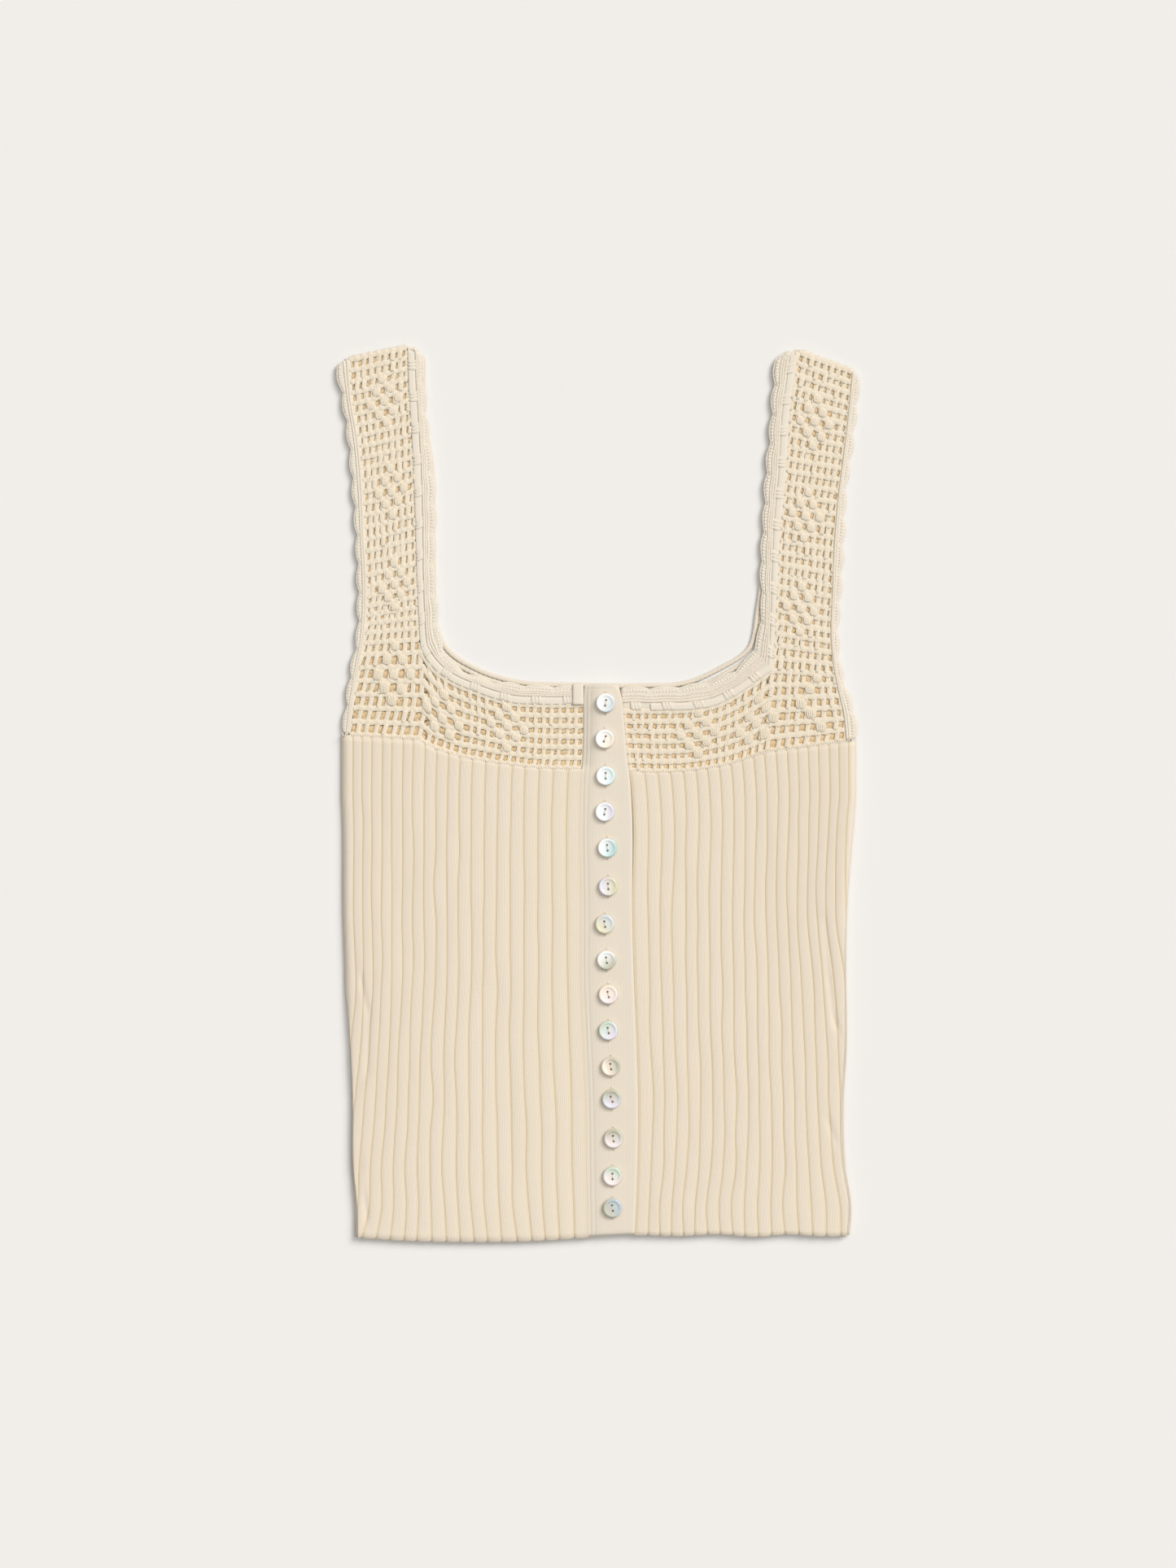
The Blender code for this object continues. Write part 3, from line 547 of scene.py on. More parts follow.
def drawn_in(front, centres):
    """The front's place function with the meshes beside each puff drawn toward it."""

    def place(cell, row, lift):
        cell, row = np.broadcast_arrays(cell, row)
        shift = np.zeros(cell.shape)
        for at_cell, at_row in centres:
            aside, up = (cell - at_cell) / PUFF_PULL[0], (row - at_row) / PUFF_PULL[1]
            near = np.exp(-(aside**2) - up**2)
            shift -= PUFF_DRAW * (cell - at_cell) * near
        return front.place(cell + shift, row, lift)

    return place


def net_places(cells):
    """The cells, rows and half widths of all posts of one front."""
    places = [(cell, row) for row in range(BAND_FIRST_ROW) for cell in range(STRAP_CELLS + 1)]
    places += [(cell, row) for row in range(BAND_FIRST_ROW, NET_ROWS) for cell in range(cells + 1)]
    at_cell, at_row = np.array(places, float).T
    band = np.clip((at_cell - STRAP_CELLS) / 2, 0, 1)[:, None]
    return at_cell, at_row, POST_HALF_WIDTH["strap"] * (1 - band) + POST_HALF_WIDTH["band"] * band


# The back yoke is worked in the same net, one U with both back straps. It lies flat under the fronts, shifted
# by half a mesh, and shows through their meshes. Its cream yarn is coloured deeper and warmer than the
# fronts', painted shade for how little light reaches it there. Plain chains edge it, and show as a sliver at
# the neck.
# Painted shade: the back yoke's yarn is the same cream, coloured here as it looks in the shade under the
# fronts.
BACK_SHADED_LIGHT = (0.68, 0.51, 0.305)
BACK_SHADED_DEEP = (0.65, 0.475, 0.275)
BACK_EDGE_LIGHT = (0.73, 0.66, 0.55)
BACK_EDGE_DEEP = (0.70, 0.61, 0.48)
BACK_POST = (1.9, THICK_PAIR)
BACK_COURSE = (2.0, THICK_PAIR)
BACK_MIDDLE_POSTS = 4
BACK_SHIFT = 0.5
BACK_OVERLAP = 0.75
BACK_END = 0.1
LINE_STEPS = 400
BACK_CHAINS = 5
BACK_ARM_CHAINS = 2
BACK_ARM_INSET = 1.2
CHAIN_HALF_WIDTH = 1.3
CHAIN_STEP = 1.4
CHAIN_SINK = 0.35
CHAIN_SWELL = 0.12
CHAIN_TWIST = 0.3
FLAT_BELOW = 0.04
Spot = namedtuple("Spot", "x y")
BACK_NECK = (
    Spot(-101.0, 255.0), Spot(-100.0, 217.0), Spot(-96.0, 194.0), Spot(-95.0, 154.5), Spot(-94.5, 119.5),
    Spot(-93.0, 97.0), Spot(-87.0, 85.5), Spot(-70.5, 74.0), Spot(-44.5, 66.0), Spot(-16.0, 64.5),
    Spot(24.0, 64.5), Spot(50.5, 66.0), Spot(69.5, 74.0), Spot(87.0, 85.5), Spot(93.0, 110.0),
    Spot(97.0, 159.0), Spot(100.5, 197.5), Spot(103.0, 235.5), Spot(104.0, 252.0),
)
BACK_SHADED_COTTON = cotton("cream crochet cotton, painted shade", BACK_SHADED_LIGHT, BACK_SHADED_DEEP, ply_height, 0.1 * MM)
BACK_EDGE_COTTON = cotton("cream chain cotton", BACK_EDGE_LIGHT, BACK_EDGE_DEEP, ply_height, 0.12 * MM)
band_row = (BAND_FIRST_ROW + NET_ROWS) / 2
left_posts = np.arange(STRAP_CELLS, left_front.cells) + BACK_SHIFT
right_posts = np.arange(STRAP_CELLS, right_front.cells) + BACK_SHIFT
left_x = left_front.point(left_posts, np.full(left_posts.shape, band_row))[0]
right_x = right_front.point(right_posts, np.full(right_posts.shape, band_row))[0][::-1]
middle_x = np.linspace(left_x[-1], right_x[0], BACK_MIDDLE_POSTS + 2)[1:-1]
back_columns = np.concatenate([left_x, middle_x, right_x])


def past_centre(x):
    """How far across the gap between the fronts' nets a point lies, from 0 to 1."""
    return np.clip((x - middle_x[0]) / (middle_x[-1] - middle_x[0]), 0, 1)


def laid(x, y, lift):
    """Points of the back's cloth, pressed flat where it rests."""
    return set_out(x, y, np.maximum(BACK_MIDDLE - lift, FLAT_BELOW))


def back_strap(half):
    """The place function of one half of the back, out to the end of its strap's cells."""
    return lambda cell, row, lift: laid(*half.strap_point(cell, row), lift)


def back_band(cell, row, lift):
    """The place function of the back's net between its straps, in its own columns."""
    x = np.interp(cell, np.arange(len(back_columns)), back_columns)
    heights = []
    for half in (left_front, right_front):
        start_x, start_y = half.strap_point(STRAP_CELLS, row)
        share = np.clip((x - start_x) / (half.centre(half.end_top) - start_x), 0, 1)
        end_y, fall = half.drop(share, row)
        heights.append(start_y + (end_y - start_y) * fall)
    over = past_centre(x)
    return laid(x, heights[0] * (1 - over) + heights[1] * over, lift)


def reaches(points):
    """How far along a line each of its points lies."""
    return np.concatenate([[0], np.cumsum(np.linalg.norm(np.diff(points, axis=0), axis=1))])


def along(points, steps):
    """Points at even steps along a line."""
    reach = reaches(points)
    places = np.linspace(0, reach[-1], steps)
    return set_out(*(np.interp(places, reach, values) for values in points.T))


def eased(spots, steps):
    """Points at even steps along the smooth line through a table's spots."""
    points = np.array(spots, float)
    reach = reaches(points)
    places = np.linspace(0, reach[-1], steps)
    return set_out(*(course(reach, values)(places) for values in points.T))


def chains(yarn, sewn, free, many):
    """Adds flat chains side by side, to fill the strip between two lines."""
    for i in range(many):
        share = (i + 0.5) / many
        line = along(sewn * (1 - share) + free * share, round(reaches(free)[-1] / CHAIN_STEP))
        beat = np.cos(math.pi * np.arange(len(line)) + i)
        width = CHAIN_HALF_WIDTH * (1 + CHAIN_SWELL * beat)
        yarn.strands(laid(*line.T, CHAIN_SINK)[None], width, THICK_PAIR, twist=CHAIN_TWIST * beat)


def fixed(piece, node=None):
    """Fixes a piece to the garment and hides the solid that it stands for."""
    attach(piece, "root")
    if node:
        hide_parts(node)


chance = np.random.default_rng(7)
back_net = Yarn()
back_rows = np.arange(NET_ROWS) + BACK_SHIFT
back_places = np.array([(c, r) for r in back_rows[:-1] for c in np.arange(STRAP_CELLS) + BACK_SHIFT])
foot_row = NET_ROWS - BACK_END
for half, slant in ((left_front, POST_SLANT), (right_front, -POST_SLANT)):
    place = back_strap(half)
    posts(back_net, place, *back_places.T, slant, chance, *BACK_POST)
    rows = np.append(back_rows, foot_row)
    courses(back_net, place, 0, STRAP_CELLS + BACK_OVERLAP, rows, chance, *BACK_COURSE)
columns_range = np.arange(len(back_columns))
band_rows = np.arange(BAND_FIRST_ROW, NET_ROWS) + BACK_SHIFT
band_places = np.array([(c, r) for r in band_rows[:-1] for c in columns_range])
posts(back_net, back_band, *band_places.T, POST_SLANT, chance, *BACK_POST)
band_courses = np.concatenate([[BAND_FIRST_ROW + BACK_END], band_rows, [foot_row]])
courses(back_net, back_band, 0, columns_range[-1], band_courses, chance, *BACK_COURSE)
yoke_back = back_net.piece("back_crochet_yoke", BACK_SHADED_COTTON)
fixed(yoke_back, "yoke_back")

back_edge = Yarn()
neck_sewn = np.concatenate([left_front.neck_side(BACK_SHIFT), right_front.neck_side(BACK_SHIFT)[::-1]])
chains(back_edge, along(neck_sewn, LINE_STEPS), eased(BACK_NECK, LINE_STEPS), BACK_CHAINS)
arm_rows = np.linspace(BACK_SHIFT, NET_ROWS, 200)
for half, inward in ((left_front, BACK_ARM_INSET), (right_front, -BACK_ARM_INSET)):
    free = set_out(*half.across_strap(half.arm, arm_rows)) + np.array([inward, 0])
    chains(back_edge, set_out(*half.strap_point(0, arm_rows)), free, BACK_ARM_CHAINS)
back_edging = back_edge.piece("back_edging_chains", BACK_EDGE_COTTON)
fixed(back_edging)

# The front yokes with their straps: the same net with diamonds of nine puffs down each strap and along the
# band. Each rolls over the shoulder, where it is joined to the back strap.
FOLD_REACH = (0.4, 0.98)
NET_TUCK = 0.4

shoulder = np.arange(STRAP_CELLS + 1, dtype=float)
for side, front, diamonds, singles, slant, tucked in (
    ("left", left_front, LEFT_DIAMONDS, (), POST_SLANT, 0.0),
    ("right", right_front, RIGHT_DIAMONDS, CHEVRON, -POST_SLANT, NET_TUCK),
):
    net = Yarn()
    centres = np.array([spot for centre in diamonds for spot in diamond(centre)] + list(singles)) + 0.5
    place = drawn_in(front, centres)
    folded = np.full(len(shoulder), -1.0)
    posts(net, place, shoulder, folded, slant, chance, POST_HALF_WIDTH["strap"], reach=FOLD_REACH)
    at_cell, at_row, half_width = net_places(front.cells)
    posts(net, place, at_cell, at_row, slant, chance, half_width)
    strap_rows = np.arange(0, BAND_FIRST_ROW, dtype=float)
    courses(net, place, 0, STRAP_CELLS, strap_rows, chance, COURSE_HALF_WIDTH)
    all_rows = np.arange(BAND_FIRST_ROW, NET_ROWS + 1, dtype=float)
    courses(net, place, 0, front.cells + tucked, all_rows, chance, COURSE_HALF_WIDTH)
    yoke = net.piece(f"front_crochet_yoke_{side}", YARN_COTTON)
    fixed(yoke, f"yoke_front_{side}")
    bobbles = Yarn()
    puffs(bobbles, front.place, centres, chance)
    raised = bobbles.piece(f"front_puffs_{side}", YARN_COTTON)
    fixed(raised)

# The crocheted edgings: at the neck a beading row for the tape, then rows of single crochet and a scalloped
# free edge; at the armholes two rows and scallops. Each is a dense strip with its stitches raised on it.
EDGE_LIGHT = (0.765, 0.70, 0.60)
EDGE_DEEP = (0.735, 0.65, 0.525)
EDGE_STITCH = 2.1
EDGE_ROW = 1.7
EDGE_START = -3.3
EDGE_STEP = 1.7
EDGE_LIFT = (0.45, -0.6)
RECESS_LIFT = 0.12
EDGE_SEWN = 0.2
EDGE_MARGIN = 0.8
EDGE_LINES = 7
EDGE_STOP = 0.3
SCALLOP_PITCH = 17.0
SCALLOP_DEPTH = 1.8
SCALLOP_MEAN = 0.6
SHOULDER_DROP = 3.0
BEADING = 5.2
RECESS_STOP = 0.4
NECK_CORNER = 4.8
CORNER_STEP = 0.35
Rope = namedtuple("Rope", "radius spread lift")
ROW_ROPE = Rope(0.62, 0.42, 0.15)
RIM_ROPE = Rope(0.6, 0.35, -0.2)
ROPE_PITCH = 2.4
ROPE_RISE = 0.15
ROPE_STEPS = 4
ROPE_STOP = 0.4
RIM_INSET = 0.6
Stitches = namedtuple("Stitches", "rows start fans rim_start")
NECK_STITCHES = Stitches((0.08, 0.26, 0.44), -3.0, 0.74, -3.0)
ARM_STITCHES = Stitches((0.12, 0.36), -2.0, 0.46, -1.0)
SCALLOP_POSTS = 8
SCALLOP_POST_RADIUS = 0.92
SCALLOP_FLARE = (0.8, 0.35)
SCALLOP_GATHER = 0.25
SCALLOP_INSET = 0.5
SCALLOP_ARCH = (0.1, 0.15, 0.45)
LEFT_NECK = (
    Spot(-102.0, 257.5), Spot(-101.0, 235.5), Spot(-99.0, 211.5), Spot(-96.0, 188.0), Spot(-95.0, 159.0),
    Spot(-95.5, 130.5), Spot(-94.0, 109.0), Spot(-92.0, 92.5), Spot(-88.0, 81.0), Spot(-79.0, 72.0),
    Spot(-63.5, 66.0), Spot(-44.5, 63.4), Spot(-16.0, 62.3), Spot(-7.5, 62.0),
)
RIGHT_NECK = (
    Spot(104.0, 255.5), Spot(102.5, 235.5), Spot(100.5, 207.0), Spot(98.5, 188.0), Spot(97.0, 159.0),
    Spot(95.5, 130.5), Spot(96.0, 109.0), Spot(94.0, 92.5), Spot(89.5, 81.0), Spot(83.0, 74.0),
    Spot(74.5, 68.5), Spot(61.0, 64.2), Spot(46.0, 62.3), Spot(13.7, 62.0),
)


def stocking_height(tree):
    """Knit stitches: each column of the cloth's map is a V of two slanting legs."""
    column_place, row_place = stitch_place(tree)
    leg = work_out(tree, "MULTIPLY", work_out(tree, "PINGPONG", column_place, 0.5), 2.0)
    ridge = work_out(tree, "SINE", work_out(tree, "MULTIPLY", leg, math.pi))
    slant = work_out(tree, "MULTIPLY_ADD", leg, 0.9, row_place)
    beat = work_out(tree, "PINGPONG", slant, 0.5)
    return work_out(tree, "MULTIPLY", ridge, work_out(tree, "MULTIPLY_ADD", beat, 0.9, 0.45))


EDGE_COTTON = cotton("cream single crochet", EDGE_LIGHT, EDGE_DEEP, stocking_height, 0.2 * MM)
EDGE_YARN = cotton("cream edging cotton", EDGE_LIGHT, EDGE_DEEP, ply_height, 0.12 * MM)


def closed_cloth(name, top, bottom, uv, material):
    """A closed shell between two grids of points, in millimetres, with the cloth's map in stitches."""
    facing = np.cross(top[1:, :-1] - top[:-1, :-1], top[:-1, 1:] - top[:-1, :-1])[..., 2].sum()
    if facing < 0:
        top, bottom, uv = top[:, ::-1], bottom[:, ::-1], uv[:, ::-1]
    rows, columns = top.shape[:2]
    index = np.arange(rows * columns).reshape(rows, columns)
    quads = np.stack([index[:-1, :-1], index[1:, :-1], index[1:, 1:], index[:-1, 1:]], axis=-1).reshape(-1, 4)
    under = index.size
    rim = np.concatenate([index[0, :-1], index[:-1, -1], index[-1, :0:-1], index[:0:-1, 0]])
    onward = np.roll(rim, -1)
    walls = np.stack([rim, onward, onward + under, rim + under], axis=-1)
    faces = np.concatenate([quads, quads[:, ::-1] + under, walls])
    points = np.concatenate([top.reshape(-1, 3), bottom.reshape(-1, 3)])
    maps = np.tile(uv.reshape(-1, 2), (2, 1))[faces]
    return smooth_piece(name, points, faces.tolist(), maps, material)


class Edging:
    """An edging between the net's edge and its own free edge; s runs along it from the shoulder fold."""

    def __init__(self, sewn, free, scallops, corner=0.0, recess=0.0):
        self.sewn, self.free, self.corner, self.recess = sewn, free, corner, recess
        self.reach = reaches((sewn + free) / 2)
        self.length = float(self.reach[-1])
        self.pitch = self.length / scallops
        self.scallops = scallops

    def between(self, s, share):
        """Points at a share of the way from the sewn edge to the free one."""
        sewn, free = ([np.interp(s, self.reach, xy) for xy in line.T] for line in (self.sewn, self.free))
        return [a + (b - a) * share for a, b in zip(sewn, free)]

    def width(self, s):
        """The distance from the sewn edge to the free one."""
        return np.hypot(*(b - a for a, b in zip(self.between(s, 0), self.between(s, 1))))

    def place(self, s, out, lift):
        """Points in space, out from the sewn edge, rolling over the shoulder before s is 0."""
        x, y = self.between(np.maximum(s, 0), out / self.width(s))
        return over_fold(x, y, np.maximum(-s, 0), lift)

    def rim(self, s):
        """How far out the scalloped free edge lies, rounded off at the shoulder's corner."""
        wave = np.abs(np.sin(math.pi * s / self.pitch)) - SCALLOP_MEAN
        short = np.clip(self.corner - s, 0, self.corner)
        return self.width(s) + SCALLOP_DEPTH * wave - self.corner + np.sqrt(self.corner**2 - short**2)

    def strip(self, name):
        """The dense strip that carries the stitches."""
        rolled = np.arange(EDGE_START, NECK_CORNER, CORNER_STEP)
        rest = np.linspace(NECK_CORNER, self.length - EDGE_STOP, round(self.length / EDGE_STEP))
        s = np.append(rolled, rest)[:, None]
        out = EDGE_SEWN + (self.rim(s) - EDGE_MARGIN - EDGE_SEWN) * np.linspace(0, 1, EDGE_LINES)
        lift = np.where(out < self.recess, RECESS_LIFT, EDGE_LIFT[0])
        top, bottom = self.place(s, out, lift), self.place(s, out, EDGE_LIFT[1])
        return closed_cloth(name, top, bottom, set_out(out / EDGE_STITCH, s / EDGE_ROW), EDGE_COTTON)

    def rope(self, yarn, out_of, rope, start):
        """Adds a chain of two plies along the edging; out_of gives its distance from the sewn edge."""
        s = np.arange(start, self.length - ROPE_STOP, ROPE_PITCH / ROPE_STEPS)
        for ply in (0, math.pi):
            angle = ply + math.tau * s / ROPE_PITCH
            out = out_of(s) + rope.spread * np.cos(angle)
            yarn.strands(self.place(s, out, rope.lift + ROPE_RISE * np.sin(angle))[None], rope.radius)


def fans(yarn, edging, start):
    """Adds the fan of posts in each scallop, from a share of the width out to the rim."""
    s = (np.arange(edging.scallops * SCALLOP_POSTS) + 0.5) * edging.pitch / SCALLOP_POSTS
    up = np.linspace(0, 1, 5)
    middle = (np.floor(s / edging.pitch) + 0.5) * edging.pitch
    spread = s[:, None] + (middle - s)[:, None] * SCALLOP_GATHER * (1 - up)
    low = (edging.width(s) * start)[:, None]
    out = low + (edging.rim(spread) - SCALLOP_INSET - low) * up
    foot, arch, fall = SCALLOP_ARCH
    lift = foot + arch * np.sin(math.pi * up) - fall * up**2
    width = SCALLOP_POST_RADIUS * (SCALLOP_FLARE[0] + SCALLOP_FLARE[1] * up)
    yarn.strands(edging.place(spread, out, lift), width, FLAT_ROUND)


def scallop_count(points):
    """How many whole scallops a line takes."""
    return round(reaches(points)[-1] / SCALLOP_PITCH)


def crocheted_on(edging, name, side, node, worked, row_of):
    """Makes an edging: its dense strip, rows of rope where row_of says, and scallops with a roped rim."""
    strip = edging.strip(f"{name}_{side}")
    fixed(strip, f"{node}_{side}")
    stitches = Yarn()
    for share in worked.rows:
        edging.rope(stitches, lambda s: row_of(s, share), ROW_ROPE, worked.start)
    fans(stitches, edging, worked.fans)
    edging.rope(stitches, lambda s: edging.rim(s) - RIM_INSET, RIM_ROPE, worked.rim_start)
    raised = stitches.piece(f"{name}_stitches_{side}", EDGE_YARN)
    fixed(raised)
    return strip, raised


neck_edgings = {}
for side, front, neck, tucked in (
    ("left", left_front, LEFT_NECK, 0.0),
    ("right", right_front, RIGHT_NECK, NET_TUCK),
):
    sewn, free = along(front.neck_side(tucked=tucked), LINE_STEPS), eased(neck, LINE_STEPS)
    edging = Edging(sewn, free, scallop_count(np.array(neck)), NECK_CORNER, BEADING - RECESS_STOP)
    strip, raised = crocheted_on(
        edging, "neck_edging", side, "edging_neck", NECK_STITCHES,
        lambda s, share: BEADING + (edging.rim(s) - BEADING) * share,
    )
    neck_edgings[side] = edging, strip, raised

for side, front in (("left", left_front), ("right", right_front)):
    rows = np.linspace(0, NET_ROWS, 300)
    sewn = set_out(*front.strap_point(0, rows))
    free = set_out(*front.across_strap(front.arm, rows))
    free[:, 1] -= SHOULDER_DROP * np.clip(1 - rows / 2, 0, 1)
    edging = Edging(sewn, free, scallop_count(sewn[[0, -1]]))
    strip, raised = crocheted_on(
        edging, "armhole_edging", side, "edging_arm", ARM_STITCHES,
        lambda s, share: edging.width(s) * share,
    )
    width = float(edging.width(edging.reach).mean()) * MM

# The body is a wide-rib knit in fine cotton: the back is one panel that lies flat, and each front has broad
# round ribs from the yoke to the hem, the last of them rolled round the side.
RIB_LIGHT = (0.772, 0.68, 0.556)
RIB_DEEP = (0.752, 0.652, 0.52)
# Painted shade: the rib knit's colour deepens to a warm tan toward each groove between the ribs.
GROOVE_PAINTED_SHADE = (0.72, 0.60, 0.43)
GROOVE_SHADE_REACH = (0.0, 1.25)
RIB_STITCHES = 6
KNIT_ROW = 1.15
RIBS = 20
RIB_FACETS = 8
RIB_ROUNDNESS = 2.8
FRONT_FLOOR = 2.3
OVER_FLOOR = 4.2
RIB_TUCK = 1.5
RIB_GROOVE = 2.3
RIB_CROWN = 2.8
RIB_STEP = 3.0
SEAM_ROWS = 9
SEAM_GAP = 0.3
NEAR_SEAM = np.linspace(1, 0, SEAM_ROWS, endpoint=False)[:, None]
SHELL = 0.9
ROLL_SPREAD = 0.3
ROLL_START = 0.6
ROLL_OUT = 1.0
ROLL_UNDER = 0.7
ROLL_DOWN = 0.8
ROLL_FOOT = 1.0
TUCKED = ((1.0, -0.15), (0.6, 0.6))
BEND = (0.28, 14)
SWELL = (0.05, 9)
HEM_BULGE = 1.0
HEM_LIP = 0.45
HEM_ROUND = 0.35
HEM_BLEND = 20.0
BACK_THICK = 2.0
BACK_GROOVE = 0.5
BACK_RIBS = 36
BACK_LEVELS = 56
BACK_DRAWN_IN = 1.4
Rib = namedtuple("Rib", "y side first ribs")
LEFT_RIBS = (
    Rib(7.0, -149.0, 8.6, 20.0),
    Rib(-12.0, -148.0, 8.6, 20.0),
    Rib(-69.5, -147.5, 8.8, 20.0),
    Rib(-107.5, -146.5, 8.8, 20.0),
    Rib(-145.5, -143.5, 9.3, 19.0),
    Rib(-183.5, -142.5, 9.3, 18.0),
    Rib(-221.5, -142.5, 9.3, 17.4),
    Rib(-240.5, -140.5, 9.1, 17.0),
    Rib(-259.5, -140.5, 8.5, 16.3),
)
RIGHT_RIBS = (
    Rib(7.0, 151.0, 7.7, 19.5),
    Rib(-12.0, 149.5, 7.6, 19.6),
    Rib(-69.5, 145.0, 7.6, 19.0),
    Rib(-107.5, 144.5, 7.4, 18.0),
    Rib(-145.5, 145.0, 7.1, 17.6),
    Rib(-183.5, 143.0, 7.1, 17.0),
    Rib(-221.5, 144.5, 6.8, 16.7),
    Rib(-240.5, 147.5, 6.3, 16.6),
    Rib(-259.5, 146.5, 6.6, 16.4),
)
HEM = (
    Spot(-140.5, -259.0), Spot(-106.5, -261.0), Spot(-73.0, -261.5), Spot(-39.5, -261.0), Spot(-6.5, -259.0),
    Spot(22.0, -257.5), Spot(50.5, -258.0), Spot(69.5, -257.0), Spot(93.5, -258.5), Spot(112.5, -257.0),
    Spot(127.0, -258.0), Spot(146.5, -258.0),
)
hem_y = course([spot.x for spot in HEM], [spot.y for spot in HEM])

# Where the fronts are pinched and creased: soft troughs near their sides, and one pulled stitch on the left.
Crease = namedtuple("Crease", "from_x from_y to_x to_y half_width depth")
LEFT_CREASES = (
    Crease(-137.3, -107.5, -137.5, -111.5, 1.0, 1.3),
    Crease(-137.8, -112.0, -133.5, -128.0, 1.6, 0.6),
    Crease(-133.5, -128.0, -134.5, -165.0, 1.8, 0.45),
    Crease(-141.5, -176.5, -136.4, -169.2, 1.3, 0.8),
    Crease(-141.5, -225.0, -137.0, -217.0, 1.3, 0.7),
    Crease(-135.5, -236.0, -134.2, -251.0, 1.2, 0.8),
    Crease(-120.0, -20.0, -112.0, -95.0, 7.0, 0.25),
    Crease(-60.0, -120.0, -52.0, -215.0, 9.0, 0.25),
)
RIGHT_CREASES = (
    Crease(132.6, -74.0, 135.5, -110.0, 1.8, 0.5),
    Crease(135.5, -110.0, 138.5, -134.0, 1.5, 0.7),
    Crease(138.5, -134.0, 141.5, -139.0, 1.2, 0.8),
    Crease(134.0, -190.0, 140.0, -205.0, 1.5, 0.5),
    Crease(95.0, -30.0, 104.0, -120.0, 8.0, 0.25),
    Crease(62.0, -150.0, 58.0, -235.0, 9.0, 0.25),
)

RIB_COTTON = cotton("cream rib knit", RIB_LIGHT, RIB_DEEP, stocking_height, 0.12 * MM)
# Painted shade in the grooves: the colour blends to the groove's tan near each groove, by the cloth's map.
tree = RIB_COTTON.node_tree
rib_colour = tree.nodes["Principled BSDF"].inputs["Base Color"]
from_groove = work_out(tree, "PINGPONG", stitch_place(tree)[0], RIB_STITCHES / 2)
crown = add_node(
    tree,
    "ShaderNodeMapRange",
    {"Value": from_groove, "From Min": GROOVE_SHADE_REACH[0], "From Max": GROOVE_SHADE_REACH[1]},
    interpolation_type="SMOOTHSTEP",
)
groove_shaded = add_node(
    tree,
    "ShaderNodeMix",
    {"Factor": crown.outputs["Result"], "A": (*GROOVE_PAINTED_SHADE, 1), "B": rib_colour.links[0].from_socket},
    data_type="RGBA",
)
tree.links.new(groove_shaded.outputs["Result"], rib_colour)


def rib_place(side, first, ribs, centre, place):
    """Where a point counted in ribs from the placket lies across one section of a front."""
    width = np.abs(side - centre) - ROLL_SPREAD * (RIBS - ribs)
    taper = 2 * (ribs * first - width) / (ribs * (ribs - 1))
    shown = np.minimum(place, ribs)
    reach = shown * first - taper * shown * (shown - 1) / 2 + ROLL_SPREAD * (place - shown)
    return centre + np.sign(side - centre) * reach


def wander(chance, many, reach, steps):
    """A smooth random course for each of many lines, over a number of steps."""
    knots = chance.normal(0, reach, (many, steps))
    places = np.linspace(0, 1, steps)
    return lambda t: np.stack([course(places, row)(t) for row in knots])


def near_hem(y, foot):
    """How far a point near the hem takes on its course, from 0 to 1."""
    return np.clip((foot + HEM_BLEND - y) / HEM_BLEND, 0, 1) ** 2


def sunk(x, y, creases):
    """How deep points lie in the creases, each a soft trough along a straight run."""
    depth = np.zeros(x.shape)
    for crease in creases:
        run_x, run_y = crease.to_x - crease.from_x, crease.to_y - crease.from_y
        share = ((x - crease.from_x) * run_x + (y - crease.from_y) * run_y) / (run_x**2 + run_y**2)
        share = np.clip(share, 0, 1)
        away = np.hypot(x - crease.from_x - share * run_x, y - crease.from_y - share * run_y)
        depth += crease.depth * np.exp(-((away / crease.half_width) ** 2))
    return depth


